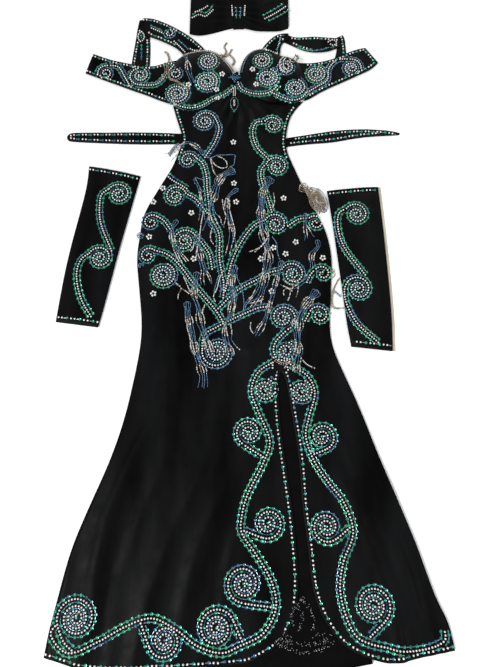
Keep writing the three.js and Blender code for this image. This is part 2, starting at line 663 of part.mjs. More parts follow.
// Beaded fringe. Each bunch hangs from a small backing, with its strands side by side along a path.
const STRAND = { radius: 1.3, sides: 3, stretch: 20, backing: 2.9, backingLength: 6 };
const FRINGES = {
  fringe_waist_left: {
    strands: 3, pitch: 3.4, look: blueBeads,
    path: [[-100, 639], [-120, 664], [-137, 672], [-152, 663], [-166, 652], [-181, 639]],
  },
  fringe_waist_middle: {
    strands: 5, pitch: 3.3, look: blueBeads,
    path: [[-33, 606], [-60, 590], [-77, 548], [-83, 512], [-77, 484], [-65, 463]],
  },
  fringe_waist_inner: {
    strands: 3, pitch: 3.4, look: blueBeads,
    path: [[-26, 560], [-47, 538], [-46, 491], [-37, 449], [-42, 402]],
  },
  fringe_waist_outer: {
    strands: 2, pitch: 3.6, look: blueBeads,
    path: [[-122, 584], [-110, 556], [-104, 525], [-101, 484]],
  },
  fringe_side_left: {
    strands: 3, pitch: 3.5, look: blueBeads,
    path: [[-156, 486], [-166, 451], [-149, 410], [-136, 386]],
  },
  fringe_belly_left: {
    strands: 4, pitch: 3.3, look: blueBeads,
    path: [[-113, 449], [-108, 415], [-97, 378], [-90, 338]],
  },
  fringe_hip_left: {
    strands: 4, pitch: 3.3, look: blueBeads,
    path: [[-109, 367], [-113, 337], [-114, 313], [-107, 291], [-99, 257], [-91, 228], [-84, 186]],
  },
  fringe_hip_outer: {
    strands: 4, pitch: 3.3, look: blueBeads,
    path: [[-129, 303], [-125, 270], [-118, 239], [-109, 204], [-99, 175], [-92, 147], [-91, 125]],
  },
  fringe_middle: {
    strands: 4, pitch: 3.3, look: blueBeads,
    path: [[-31, 381], [-38, 344], [-33, 313], [-38, 283], [-47, 241], [-36, 196]],
  },
  fringe_belly_right: {
    strands: 5, pitch: 3.3, look: blueBeads,
    path: [[46, 587], [28, 545], [24, 500], [27, 460], [37, 415], [34, 372], [20, 325], [-2, 283]],
  },
  fringe_belly_low: {
    strands: 3, pitch: 3.4, look: blueBeads,
    path: [[66, 392], [55, 348], [42, 300], [30, 262], [14, 230]],
  },
  fringe_side_right: {
    strands: 3, pitch: 3.4, look: blueBeads,
    path: [[118, 500], [118, 474], [125, 442]],
  },
  fringe_side_low: {
    strands: 3, pitch: 3.4, look: blueBeads,
    path: [[141, 440], [144, 424], [129, 402], [130, 372]],
  },
  fringe_curl_right: {
    strands: 2, pitch: 3.8, look: blueBeads,
    path: [[122, 352], [102, 338], [86, 334], [64, 344]],
  },
  fringe_hip_right: {
    strands: 5, pitch: 3.3, look: blueBeads,
    path: [[140, 326], [112, 292], [97, 258], [95, 208], [82, 158]],
  },
  fringe_edge_right: {
    strands: 3, pitch: 3.6, look: tanBeads,
    path: [[100, 572], [124, 546], [146, 524], [158, 500]],
  },
  fringe_cup_left: {
    strands: 3, pitch: 3.4, look: blueBeads,
    path: [[-150, 895], [-144, 868], [-138, 835], [-130, 800]],
  },
  fringe_wing_left: {
    strands: 2, pitch: 3.8, look: tanBeads,
    path: [[-199, 884], [-195, 866], [-200, 844], [-210, 822]],
  },
};
const COVERED = [front, ...Object.values(strips), ...Object.values(CUPS).map(cupTop)];

/** The upper side of a cup as one surface. */
function cupTop(shape) {
  const { rings, top } = cupSurface(shape, CUP_UNDER, CUP_RIM, 0);
  const rows = rings.map((ring) => [...ring, ring[0]]);
  return surface([...rows, rows[0].map(() => top)]);
}

/** Height of whatever lies highest at x, y, or of the floor. */
function ground(x, y) {
  return Math.max(0, ...COVERED.map((piece) => heightAt(piece, x, y) ?? 0));
}

/** Splits a flat list of numbers into triples. */
function triples(list, stride = 3) {
  return steps(0, list.length / stride - 1, list.length / stride - 1).map((i) => {
    return [0, 1, 2].map((k) => list[Math.round(i) * stride + k]);
  });
}

function fromManifold(name, shape, material) {
  const { vertProperties, triVerts, numProp } = shape.getMesh();
  return solid(name, triples(vertProperties, numProp), triples(triVerts), material);
}

function toManifold(points, faces) {
  const mesh = new manifold.Mesh({
    numProp: 3,
    vertProperties: new Float32Array(points.flat()),
    triVerts: new Uint32Array(faces.flat()),
  });
  return new manifold.Manifold(mesh);
}

/** A thin rod of three flat sides along a line of points. */
function rod(line) {
  const { radius, sides } = STRAND;
  const rings = line.map((point, i) => {
    const before = line[Math.max(0, i - 1)];
    const after = line[Math.min(line.length - 1, i + 1)];
    const ahead = after.clone().sub(before).normalize();
    const beside = new THREE.Vector3(ahead.y, -ahead.x, 0).normalize();
    const above = beside.clone().cross(ahead);
    return steps(0, sides - 1, sides - 1).map((k) => {
      const angle = Math.PI / 2 + 2 * Math.PI * k / sides;
      const out = beside.clone().multiplyScalar(radius * Math.cos(angle));
      return out.addScaledVector(above, radius * Math.sin(angle)).add(point).toArray();
    });
  });
  const faces = [];
  for (let i = 0; i + 1 < rings.length; i += 1) {
    for (let k = 0; k < sides; k += 1) {
      const [a, b] = [i * sides + k, i * sides + (k + 1) % sides];
      faces.push([a, a + sides, b], [b, a + sides, b + sides]);
    }
  }
  const end = (rings.length - 1) * sides;
  for (let k = 1; k + 1 < sides; k += 1) faces.push([0, k, k + 1], [end, end + k + 1, end + k]);
  return toManifold(rings.flat(), faces);
}

/** The line of one strand, beside the path of its bunch, lying on the highest of what is near it. */
function strandLine(curve, aside, length) {
  const count = Math.max(4, Math.round(length / STRAND.stretch));
  const place = (t) => {
    const along = Math.min(1, Math.max(0, t));
    const [at, ahead] = [curve.getPointAt(along), curve.getTangentAt(along)];
    return [at.x + ahead.y * aside, at.y - ahead.x * aside];
  };
  const fine = steps(-4, 4 * count + 4, 4 * count + 8).map((i) => ground(...place(i / (4 * count))));
  return steps(0, 1, count).map((t, i) => {
    const high = Math.max(...fine.slice(4 * i, 4 * i + 9));
    return new THREE.Vector3(...place(t), high + STRAND_CLEARANCE + STRAND.radius / 2);
  });
}

function fringe(name, { strands, pitch, look, path }) {
  const curve = new THREE.CatmullRomCurve3(path.map(([x, y]) => new THREE.Vector3(x, y, 0)));
  const length = curve.getLength();
  const lines = steps(0, strands - 1, strands - 1).map((i) => {
    const aside = (i - (strands - 1) / 2) * pitch;
    return strandLine(curve, aside, length);
  });
  const [root, ahead] = [curve.getPointAt(0), curve.getTangentAt(0)];
  const wide = (strands - 1) * pitch + 3.4;
  const lowest = Math.max(...lines.map((line) => line[0].z)) - STRAND.radius / 2;
  const backing = manifold.Manifold.cube([wide, STRAND.backingLength, STRAND.backing], true)
    .rotate([0, 0, Math.atan2(-ahead.x, ahead.y) * 180 / Math.PI])
    .translate([root.x, root.y, lowest + STRAND.backing / 2]);
  const whole = manifold.Manifold.union([backing, ...lines.map(rod)]);
  return fromManifold(name, whole, look);
}
for (const [name, bunch] of Object.entries(FRINGES)) garment.add(fringe(name, bunch));

// The part stands on the middle of its own outline's box.
const box = new THREE.Box3().setFromObject(garment);
garment.position.set(-(box.min.x + box.max.x) / 2, -(box.min.y + box.max.y) / 2, -box.min.z);

const part = new THREE.Group();
part.name = 'part';
part.add(garment);
part.updateMatrixWorld(true);

export default part;
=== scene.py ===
"""Looks of the belly dance costume set: cloth, beadwork, floor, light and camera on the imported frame.

The tables are in garment millimetres: x and y on the floor from the point below the camera, z up.
Paths are written as x, y, x, y and so on.
"""

import math
import random
from collections import defaultdict

import bmesh
import bpy
import numpy as np
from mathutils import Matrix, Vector
from mathutils.bvhtree import BVHTree


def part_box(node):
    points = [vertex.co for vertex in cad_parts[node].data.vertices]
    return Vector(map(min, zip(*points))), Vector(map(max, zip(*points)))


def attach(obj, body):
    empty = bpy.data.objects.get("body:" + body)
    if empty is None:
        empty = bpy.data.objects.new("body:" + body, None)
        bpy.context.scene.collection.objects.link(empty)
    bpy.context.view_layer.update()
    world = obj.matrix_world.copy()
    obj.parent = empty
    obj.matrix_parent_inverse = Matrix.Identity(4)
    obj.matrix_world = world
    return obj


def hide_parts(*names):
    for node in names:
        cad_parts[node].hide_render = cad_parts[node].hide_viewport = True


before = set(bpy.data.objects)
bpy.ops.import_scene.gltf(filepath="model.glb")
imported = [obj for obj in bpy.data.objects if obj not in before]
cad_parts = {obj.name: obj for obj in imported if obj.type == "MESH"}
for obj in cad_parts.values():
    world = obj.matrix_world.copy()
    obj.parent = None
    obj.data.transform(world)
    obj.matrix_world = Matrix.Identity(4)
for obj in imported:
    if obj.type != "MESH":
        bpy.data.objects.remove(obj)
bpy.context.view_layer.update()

MM = 0.001
TURN = 2 * math.pi
# The insert's top edge, and the camera: height in millimetres, tilt in degrees, lens, sensor width
INSERT_TOP = 190
CAMERA_HIGH = 945
CAMERA_TILT = 14
LENS = 26
SENSOR = 36


def garment_origin():
    """Where the garment's own zero lies in the row frame."""
    low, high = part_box("front_panel")
    return np.array([(low.x + high.x) / 2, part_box("slit_insert")[1].y - INSERT_TOP * MM, 0.0])


ORIGIN = garment_origin()
EYE = Vector(ORIGIN) + Vector((0, 0, CAMERA_HIGH * MM))


def row_points(points):
    """Garment millimetres to the row frame."""
    return np.asarray(points, float) * MM + ORIGIN


def garment_points(points):
    """The row frame to garment millimetres."""
    return (np.asarray(points, float) - ORIGIN) / MM


# Curves and falloffs

def smooth(low, high, value):
    t = np.clip((value - low) / (high - low), 0, 1)
    return t * t * (3 - 2 * t)


def spline(points, step=1.0):
    """A smooth line through the points, with a point about every step."""
    p = np.reshape(points, (-1, 2)).astype(float)
    if len(p) == 2:
        count = max(2, int(np.linalg.norm(p[1] - p[0]) / step))
        return p[0] + (p[1] - p[0]) * np.linspace(0, 1, count)[:, None]
    p = np.vstack([2 * p[0] - p[1], p, 2 * p[-1] - p[-2]])
    made = []
    for a, b, c, d in zip(p, p[1:], p[2:], p[3:]):
        t0 = 0.0
        t1 = t0 + max(1e-6, np.linalg.norm(b - a)) ** 0.5
        t2 = t1 + max(1e-6, np.linalg.norm(c - b)) ** 0.5
        t3 = t2 + max(1e-6, np.linalg.norm(d - c)) ** 0.5
        t = np.linspace(t1, t2, max(2, int(np.linalg.norm(c - b) / step)), endpoint=False)[:, None]
        ab = (t1 - t) / (t1 - t0) * a + (t - t0) / (t1 - t0) * b
        bc = (t2 - t) / (t2 - t1) * b + (t - t1) / (t2 - t1) * c
        cd = (t3 - t) / (t3 - t2) * c + (t - t2) / (t3 - t2) * d
        abc = (t2 - t) / (t2 - t0) * ab + (t - t0) / (t2 - t0) * bc
        bcd = (t3 - t) / (t3 - t1) * bc + (t - t1) / (t3 - t1) * cd
        made.append((t2 - t) / (t2 - t1) * abc + (t - t1) / (t2 - t1) * bcd)
    return np.vstack([*made, p[-2:-1]])


def lengths(line):
    return np.concatenate([[0], np.cumsum(np.linalg.norm(np.diff(line, axis=0), axis=1))])


def headings(line):
    ahead = np.gradient(line, axis=0)
    return ahead / np.maximum(1e-9, np.linalg.norm(ahead, axis=1))[:, None]


def leftward(line):
    """Unit vectors that point to the left of a line."""
    ahead = headings(line)
    return np.stack([-ahead[:, 1], ahead[:, 0]], 1)


def beside(line, aside):
    """The line moved to its left by aside, which may vary along it."""
    return line + leftward(line) * np.broadcast_to(aside, len(line))[:, None]


def sampled(values, far, where):
    """The values of a line's points, read at lengths along it."""
    return np.stack([np.interp(where, far, column) for column in values.T], -1)


def spaced(line, pitch, first=0.0):
    """Points and headings every pitch along a line."""
    far = lengths(line)
    if far[-1] < pitch:
        return []
    where = np.arange(first, far[-1], pitch)
    return list(zip(sampled(line, far, where), sampled(headings(line), far, where)))


def near(path, x, y):
    """Distance to a path, its sign by side, and the share of the path passed, for many points."""
    path = np.reshape(path, (-1, 2)).astype(float)
    far = lengths(path)
    best = np.full(x.shape, 1e9)
    side = np.ones(x.shape)
    along = np.zeros(x.shape)
    for i in range(len(path) - 1):
        a, d = path[i], path[i + 1] - path[i]
        t = np.clip(((x - a[0]) * d[0] + (y - a[1]) * d[1]) / (d @ d), 0, 1)
        ex, ey = x - a[0] - t * d[0], y - a[1] - t * d[1]
        away = np.hypot(ex, ey)
        closer = away < best
        best = np.where(closer, away, best)
        side = np.where(closer, np.sign(d[0] * ey - d[1] * ex), side)
        along = np.where(closer, (far[i] + t * (far[i + 1] - far[i])) / far[-1], along)
    return best, side, along


# Cloth

# Folds: rise, width, lean, share over which the end fades, path
FRONT_FOLDS = [
    (4.0, 12, 1.5, 0, [-172, 262, -212, 176, -251, 78, -289, -4, -328, -94, -352, -345]),
    (4.5, 11, 1.6, 0, [-109, 241, -153, 150, -192, 63, -235, -30, -268, -109, -300, -355]),
    (3.2, 10, 1.4, 0, [-130, 60, -165, -20, -205, -110, -232, -200, -248, -355]),
    (4.0, 11, 1.5, 0, [-54, 44, -81, -8, -115, -74, -150, -150, -185, -240, -205, -355]),
    (4.5, 12, 1.6, 0, [-13, 25, -36, -30, -70, -101, -94, -161, -121, -235, -138, -355]),
    (3.4, 10, 1.4, 0, [0, -48, -26, -135, -43, -210, -56, -352]),
    (4.5, 11, 0.7, 0, [104, 130, 169, 53, 209, -44, 252, -135, 288, -225, 316, -345]),
    (3.4, 10, 0.7, 0, [157, 105, 213, 25, 260, -66, 298, -160, 338, -330]),
    (4.5, 11, 0.7, 0, [142, 16, 182, -66, 222, -161, 250, -245, 264, -345]),
    (3.6, 10, 0.7, 0, [127, -48, 158, -135, 180, -218, 205, -340]),
    (2.6, 7, 1.5, 0.3, [-66, 224, -40, 208, 0, 200, 34, 206, 62, 222]),
    (2.4, 7, 1.5, 0.3, [40, 556, 10, 528, -28, 498, -60, 480]),
    (2.4, 8, 1.5, 0.3, [-150, 560, -110, 520, -60, 500]),
    (2.0, 7, 1.4, 0.4, [-140, 660, -112, 640, -78, 632]),
    (1.8, 6, 1.4, 0.4, [-134, 600, -104, 596, -70, 604]),
    (2.0, 7, 0.7, 0.4, [72, 652, 48, 640, 14, 642]),
    (1.8, 6, 0.7, 0.4, [92, 604, 62, 596, 28, 600]),
]
SLEEVE_FOLDS = {
    "gauntlet_left_front": [
        (1.7, 5, 1.5, 0.4, [-350, 594, -332, 582, -314, 574]),
        (1.6, 5, 1.5, 0.4, [-352, 570, -336, 552, -326, 536]),
        (1.4, 6, 1.5, 0.4, [-276, 500, -300, 480, -330, 470]),
        (1.6, 7, 1.6, 0.35, [-268, 470, -284, 420, -312, 360, -346, 310]),
        (1.4, 7, 1.5, 0.4, [-372, 420, -350, 350, -338, 290]),
    ],
    "gauntlet_right_front": [
        (1.8, 8, 1.5, 0.35, [252, 520, 246, 470, 240, 420, 226, 390]),
        (2.0, 9, 0.7, 0.35, [228, 392, 246, 340, 262, 290, 272, 240]),
        (1.4, 6, 0.7, 0.4, [268, 480, 262, 400, 270, 340]),
        (1.2, 5, 1.5, 0.4, [178, 520, 192, 470, 190, 440]),
    ],
}
# Where the gathers below the bust and the pleats of the headband start, and how deep a strip waves
BUST_MIDDLE = (-29, 812)
BAND_MIDDLE = (-28, 1035)
STRIP_WAVE = 0.5


def fold_height(x, y, folds):
    """Soft ridges, steeper on one side, along paths that wander a little."""
    high = np.zeros(x.shape)
    for n, (rise, wide, lean, end, path) in enumerate(folds):
        away, side, along = near(path, x + 2.2 * np.sin(y / 31 + 1.7 * n), y)
        width = np.where(side > 0, wide * lean, wide / lean)
        grown = smooth(0, 0.3, along) * (1 - smooth(1 - end, 1, along) if end else 1)
        swell = 0.8 + 0.2 * np.sin(along * 9 + 2.3 * n)
        high += rise * grown * swell * np.exp(-((away / width) ** 2))
    return high


def front_relief(x, y):
    """Folds of the dress front, with the gathers that fan out below the middle of the bust."""
    across, down = x - BUST_MIDDLE[0], BUST_MIDDLE[1] - y
    out, angle = np.hypot(across, down), np.arctan2(across, down)
    reach = smooth(10, 26, out) * (1 - smooth(70, 190, out)) * (1 - smooth(0.9, 1.25, np.abs(angle)))
    gathers = 2.6 * reach * np.abs(np.cos(9.5 * angle + 0.5 * np.sin(out / 14))) ** 1.6
    calm = 0.35 * np.sin(x / 17 + 0.6 * np.sin(y / 90)) + 0.25 * np.sin(x / 9.5 + y / 160)
    skirt = calm * (1 - smooth(150, 420, y))
    return fold_height(x, y, FRONT_FOLDS) + gathers + skirt + 0.25


def insert_relief(x, y):
    """Level wrinkles of the insert, which hangs between the slit's edges."""
    wave = np.sin(y / 9.5 + 0.9 * np.sin(x / 31)) * np.sin(y / 61 + x / 53)
    return 0.35 + 0.45 * wave


def band_relief(x, y):
    """Pleats that run into the wrap in the middle of the headband."""
    out = np.abs(x - BAND_MIDDLE[0])
    reach = smooth(6, 16, out) * (1 - smooth(40, 108, out))
    spread = (y - BAND_MIDDLE[1]) / (26 + 0.45 * out)
    return 1.5 * reach * np.abs(np.sin(7.5 * spread + 0.4 * np.sin(x / 15))) ** 1.4 + 0.2


def strip_relief(x, y):
    return STRIP_WAVE * (0.5 + 0.5 * np.sin(x / 8.3 + 1.3 * np.sin(y / 13)) * np.sin(y / 11 + x / 29))


def sleeve_relief(node):
    return lambda x, y: fold_height(x, y, SLEEVE_FOLDS[node]) + 0.2 * np.sin(x / 14 + y / 37)


def flat_relief(x, y):
    return np.zeros(x.shape)


# Every cloth piece: the flat cut in metres (width, length), its share of that box, relief, steps.
CLOTH = {
    "front_panel": ((0.710, 1.180), 0.56, front_relief, 2),
    "slit_insert": ((0.292, 0.550), 0.58, insert_relief, 2),
    "back_panel": ((0.707, 0.972), 0.64, flat_relief, 1),
    "wing_left": ((0.113, 0.215), 0.73, strip_relief, 2),
    "wing_right": ((0.103, 0.180), 0.72, strip_relief, 2),
    "strap_left_front": ((0.053, 0.190), 0.94, strip_relief, 2),
    "strap_left_back": ((0.044, 0.146), 0.86, strip_relief, 2),
    "strap_right_front": ((0.045, 0.098), 0.72, strip_relief, 2),
    "strap_right_middle": ((0.046, 0.134), 0.80, strip_relief, 2),
    "strap_right_back": ((0.031, 0.072), 0.85, strip_relief, 2),
    "waist_band_left": ((0.029, 0.281), 0.88, strip_relief, 2),
    "waist_band_right": ((0.034, 0.268), 0.82, strip_relief, 2),
    "gauntlet_left_front": ((0.118, 0.358), 0.87, sleeve_relief("gauntlet_left_front"), 2),
    "gauntlet_left_back": ((0.116, 0.357), 0.87, flat_relief, 1),
    "gauntlet_right_front": ((0.112, 0.355), 0.89, sleeve_relief("gauntlet_right_front"), 2),
    "gauntlet_right_back": ((0.110, 0.355), 0.89, flat_relief, 1),
    "headband_front": ((0.237, 0.131), 0.85, band_relief, 2),
    "headband_back": ((0.235, 0.129), 0.85, flat_relief, 1),
}
LINED = ("slit_insert", "back_panel", "gauntlet_left_back", "gauntlet_right_back", "headband_back")
CUPS = ("cup_left", "cup_right")
# Least upward slope of a face that shows, and wall in millimetres, for cloth and for a cup
SHEET_UP, SHEET_WALL = 0.15, 1.2
CUP_UP, CUP_WALL = 0.02, 2.2
# Corners this near, in metres, are joined; edges turning by more than the angle get the crease
WELD = 1e-5
CREASE_ANGLE = 0.9
CREASE = 0.55


def welded(node):
    """A CAD node's mesh with its corners joined."""
    sheet = bmesh.new()
    sheet.from_mesh(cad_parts[node].data)
    bmesh.ops.remove_doubles(sheet, verts=sheet.verts, dist=WELD)
    return sheet


def join_quads(sheet):
    bmesh.ops.join_triangles(
        sheet, faces=sheet.faces[:],
        angle_face_threshold=math.radians(40), angle_shape_threshold=math.radians(80),
    )


def shown(name, data):
    """A new object in the scene."""
    made = bpy.data.objects.new(name, data)
    bpy.context.scene.collection.objects.link(made)
    return made


def apply_modifiers(piece):
    view = bpy.context.evaluated_depsgraph_get()
    solid = bpy.data.meshes.new_from_object(piece.evaluated_get(view))
    piece.modifiers.clear()
    piece.data = solid
    solid.shade_smooth()


def refined(sheet, node, levels):
    """The sheet as a visible piece, subdivided."""
    mesh = bpy.data.meshes.new(node + "_cloth")
    sheet.to_mesh(mesh)
    sheet.free()
    piece = shown(node + "_cloth", mesh)
    steps = piece.modifiers.new("rounding", "SUBSURF")
    steps.levels = steps.render_levels = levels
    steps.boundary_smooth = "PRESERVE_CORNERS"
    apply_modifiers(piece)
    return piece


def thicken(piece, wall):
    layer = piece.modifiers.new("wall", "SOLIDIFY")
    layer.thickness = wall * MM
    layer.offset = -1
    apply_modifiers(piece)


def coordinates(mesh):
    co = np.empty(len(mesh.vertices) * 3)
    mesh.vertices.foreach_get("co", co)
    return co.reshape(-1, 3)


def outline(mesh):
    """The longest open edge of a sheet, as garment points in order, anticlockwise from above."""
    uses = defaultdict(int)
    for polygon in mesh.polygons:
        for key in polygon.edge_keys:
            uses[key] += 1
    links = defaultdict(list)
    for (a, b), count in uses.items():
        if count == 1:
            links[a].append(b)
            links[b].append(a)
    loops, seen = [], set()
    for start in links:
        loop, here = [], None if start in seen else start
        while here is not None:
            seen.add(here)
            loop.append(here)
            here = next((v for v in links[here] if v not in seen), None)
        loops.append(loop)
    ring = garment_points(coordinates(mesh)[max(loops, key=len)])[:, :2]
    x, y = ring.T
    turn = np.sum(x * np.roll(y, -1) - np.roll(x, -1) * y)
    return ring if turn > 0 else ring[::-1]


edges = {}
ground_points, ground_faces = [], []


def add_ground(mesh):
    """Adds a mesh to the ground that beads and strings come to rest on."""
    first = len(ground_points)
    ground_points.extend(coordinates(mesh).tolist())
    ground_faces.extend([v + first for v in polygon.vertices] for polygon in mesh.polygons)


def lay_cloth(node, relief, levels, least_up, wall):
    """The visible piece for a CAD node: its upper side, refined, with relief and a wall."""
    sheet = welded(node)
    sheet.normal_update()
    lower = [face for face in sheet.faces if face.normal.z < least_up]
    bmesh.ops.delete(sheet, geom=lower, context="FACES")
    join_quads(sheet)
    piece = refined(sheet, node, levels)
    co = coordinates(piece.data)
    x, y = garment_points(co)[:, 0], garment_points(co)[:, 1]
    co[:, 2] += relief(x, y) * MM
    piece.data.vertices.foreach_set("co", co.ravel())
    piece.data.update()
    edges[node] = outline(piece.data)
    add_ground(piece.data)
    thicken(piece, wall)
    return piece


def lay_wrap():
    """The short wrap round the middle of the headband, rounded on its edges."""
    band = welded("headband_wrap")
    join_quads(band)
    crease = band.edges.layers.float.new("crease_edge")
    for edge in band.edges:
        if len(edge.link_faces) == 2 and edge.calc_face_angle() > CREASE_ANGLE:
            edge[crease] = CREASE
    piece = refined(band, "headband_wrap", 2)
    add_ground(piece.data)
    return piece


# Materials

EVEN = (1, 1, 1)


def add_noise(nodes, links, place, scale, detail, stretch):
    mapping = nodes.new("ShaderNodeMapping")
    mapping.inputs["Scale"].default_value = stretch
    noise = nodes.new("ShaderNodeTexNoise")
    noise.inputs["Scale"].default_value = scale
    noise.inputs["Detail"].default_value = detail
    links.new(place.outputs["Object"], mapping.inputs["Vector"])
    links.new(mapping.outputs["Vector"], noise.inputs["Vector"])
    return noise.outputs["Fac"]


def procedural_material(name, stops, colour_noise, rough, bumps, sockets, stepped=False):
    """A procedural material; on the jersey its colour noise paints long streaks of sheen.

    stops are colours from 0 to 1, the noise given as (scale, detail, stretch) spreads them, rough is
    (lowest, highest, scale), bumps are (scale, detail, stretch, strength, depth in mm).
    """
    made = bpy.data.materials.new(name)
    made.use_nodes = True
    nodes, links = made.node_tree.nodes, made.node_tree.links
    shader = nodes["Principled BSDF"]
    for socket, value in sockets.items():
        shader.inputs[socket].default_value = value
    place = nodes.new("ShaderNodeTexCoord")
    ramp = nodes.new("ShaderNodeValToRGB")
    ramp.color_ramp.interpolation = "CONSTANT" if stepped else "LINEAR"
    while len(ramp.color_ramp.elements) < len(stops):
        ramp.color_ramp.elements.new(0.5)
    for element, (where, colour) in zip(ramp.color_ramp.elements, stops):
        element.position = where
        element.color = (*colour, 1)
    links.new(add_noise(nodes, links, place, *colour_noise), ramp.inputs["Fac"])
    links.new(ramp.outputs["Color"], shader.inputs["Base Color"])
    spread = nodes.new("ShaderNodeMapRange")
    for socket, value in zip(("From Min", "From Max", "To Min", "To Max"), (0.3, 0.7, *rough[:2])):
        spread.inputs[socket].default_value = value
    links.new(add_noise(nodes, links, place, rough[2], 2, EVEN), spread.inputs["Value"])
    links.new(spread.outputs["Result"], shader.inputs["Roughness"])
    normal = None
    for scale, detail, stretch, strength, depth in bumps:
        bump = nodes.new("ShaderNodeBump")
        bump.inputs["Strength"].default_value = strength
        bump.inputs["Distance"].default_value = depth * MM
        links.new(add_noise(nodes, links, place, scale, detail, stretch), bump.inputs["Height"])
        if normal:
            links.new(normal, bump.inputs["Normal"])
        normal = bump.outputs["Normal"]
    if normal:
        links.new(normal, shader.inputs["Normal"])
    return made


KNIT = (900, 1, (1, 0.35, 1), 0.35, 0.25)
CREASES = (26, 3, (1, 0.16, 1), 0.35, 3.0)
RIBS = (40, 2, (0.2, 1, 1), 0.3, 1.5)
# Painted sheen: the base colour's noise is stretched along y into long lighter and darker streaks on the
# black knit, which stand for sheen along the folds.
jersey = procedural_material(
    "black_jersey_painted_sheen",
    [(0.36, (0.0004, 0.0004, 0.0005)), (0.66, (0.0048, 0.0050, 0.0054))],
    (13, 4, (1, 0.22, 1)), (0.40, 0.56, 40), [KNIT, CREASES],
    {"Specular IOR Level": 0.04, "Sheen Weight": 0.002, "Sheen Roughness": 0.4},
)
mesh_cloth = procedural_material(
    "black_lining",
    [(0.3, (0.0008, 0.0008, 0.0010)), (0.7, (0.0018, 0.0018, 0.0021))],
    (30, 4, (0.4, 1, 1)), (0.6, 0.78, 60), [KNIT, RIBS],
    {"Specular IOR Level": 0.04, "Sheen Weight": 0.002, "Sheen Roughness": 0.5},
)
thread = procedural_material(
    "black_thread", [(0.3, (0.006, 0.006, 0.007)), (0.7, (0.016, 0.016, 0.018))],
    (400, 1, EVEN), (0.4, 0.6, 300), [(1500, 1, EVEN, 0.4, 0.1)], {"Specular IOR Level": 0.4},
)
lining_cloth = procedural_material(
    "pale_lining", [(0.3, (0.36, 0.31, 0.24)), (0.7, (0.48, 0.43, 0.35))],
    (30, 3, (1, 0.4, 1)), (0.6, 0.8, 50), [KNIT], {"Specular IOR Level": 0.2},
)
BEAD_BUMP = (420, 1, EVEN, 0.2, 0.15)
# Roughness, metallic, coat weight, coat roughness
FOIL = (0.2, 0.45, 0.6, 0.06)
SATIN_GLASS = (0.2, 0.15, 0.6, 0.08)
# Look: material, the colours that its beads have, shine
BEAD_LOOKS = {
    "pearl": ("pearl_beads", [(0.52, 0.50, 0.46), (0.68, 0.67, 0.64), (0.58, 0.60, 0.61)],
              (0.24, 0, 0.5, 0.1)),
    "green": ("green_sequins", [(0.008, 0.15, 0.075), (0.016, 0.31, 0.15), (0.04, 0.45, 0.20)], FOIL),
    "teal": ("teal_sequins", [(0.008, 0.13, 0.11), (0.014, 0.27, 0.22), (0.04, 0.42, 0.36)], FOIL),
    "blue": ("blue_sequins", [(0.014, 0.05, 0.12), (0.025, 0.11, 0.23), (0.05, 0.19, 0.31)], FOIL),
    "aqua": ("aqua_links", [(0.07, 0.18, 0.18), (0.16, 0.30, 0.29), (0.05, 0.14, 0.19)],
             (0.16, 0.1, 0.8, 0.05)),
    "navy": ("navy_bugles", [(0.012, 0.035, 0.10), (0.03, 0.10, 0.20), (0.02, 0.13, 0.16)],
             (0.14, 0.1, 0.8, 0.05)),
    "slate": ("slate_blue_bugles", [(0.045, 0.095, 0.17), (0.085, 0.17, 0.28), (0.15, 0.26, 0.37)],
              SATIN_GLASS),
    "sky": ("sky_blue_bugles", [(0.03, 0.12, 0.27), (0.06, 0.21, 0.40), (0.10, 0.28, 0.46)], SATIN_GLASS),
    "tan": ("tan_beads", [(0.10, 0.07, 0.042), (0.19, 0.14, 0.088), (0.36, 0.29, 0.20)],
            (0.26, 0, 0.5, 0.1)),
    "jet": ("jet_beads", [(0.012, 0.012, 0.014), (0.10, 0.10, 0.105)], (0.12, 0, 0.7, 0.05)),
}


def bead_material(name, colours, shine):
    """Glass, pearl or foil: each bead takes one of the colours by its place."""
    rough, metallic, coat, coat_rough = shine
    steps = np.linspace(0.36, 0.64, len(colours) - 1)
    return procedural_material(
        name, [(0.0, colours[0]), *zip(steps, colours[1:])],
        (190, 0, EVEN), (rough * 0.8, rough * 1.4, 260), [BEAD_BUMP],
        {"Metallic": metallic, "Coat Weight": coat, "Coat Roughness": coat_rough}, stepped=True,
    )


finishes = {look: bead_material(*row) for look, row in BEAD_LOOKS.items()}
finishes["thread"] = thread

# Bead shapes, in millimetres, standing on z = 0 with their length along x

def ball(radius, detail=2):
    shape = bmesh.new()
    bmesh.ops.create_icosphere(shape, subdivisions=detail, radius=radius)
    points = np.array([v.co for v in shape.verts]) + (0, 0, radius * 0.85)
    faces = np.array([[v.index for v in face.verts] for face in shape.faces])
    shape.free()
    return points, faces


def ring_faces(count, sides):
    """Faces between rings of corners, and the two ends."""
    faces = []
    for r in range(count - 1):
        for k in range(sides):
            a, b = r * sides + k, r * sides + (k + 1) % sides
            faces += [(a, a + sides, b), (b, a + sides, b + sides)]
    last = (count - 1) * sides
    for k in range(1, sides - 1):
        faces += [(0, k, k + 1), (last, last + k + 1, last + k)]
    return np.array(faces)


def tube(sides, radius, length):
    """A bugle bead: a prism with closed, slightly narrower ends."""
    half = length / 2
    rings = [(-half, 0.75), (-half + 0.35, 1), (half - 0.35, 1), (half, 0.75)]
    points = []
    for x, share in rings:
        for angle in TURN * np.arange(sides) / sides:
            points.append((x, radius * share * math.cos(angle), radius * share * math.sin(angle) + radius))
    return np.array(points), ring_faces(len(rings), sides)


def cup_sequin(sides, radius):
    """A faceted sequin, hollow like a small cup."""
    rings = [(0.3, 0.2), (1, 0.35), (1, 1.25), (0.62, 0.95), (0.22, 0.6)]
    points = []
    for share, z in rings:
        for angle in TURN * np.arange(sides) / sides:
            points.append((radius * share * math.cos(angle), radius * share * math.sin(angle), z))
    return np.array(points), ring_faces(len(rings), sides)[:, ::-1]


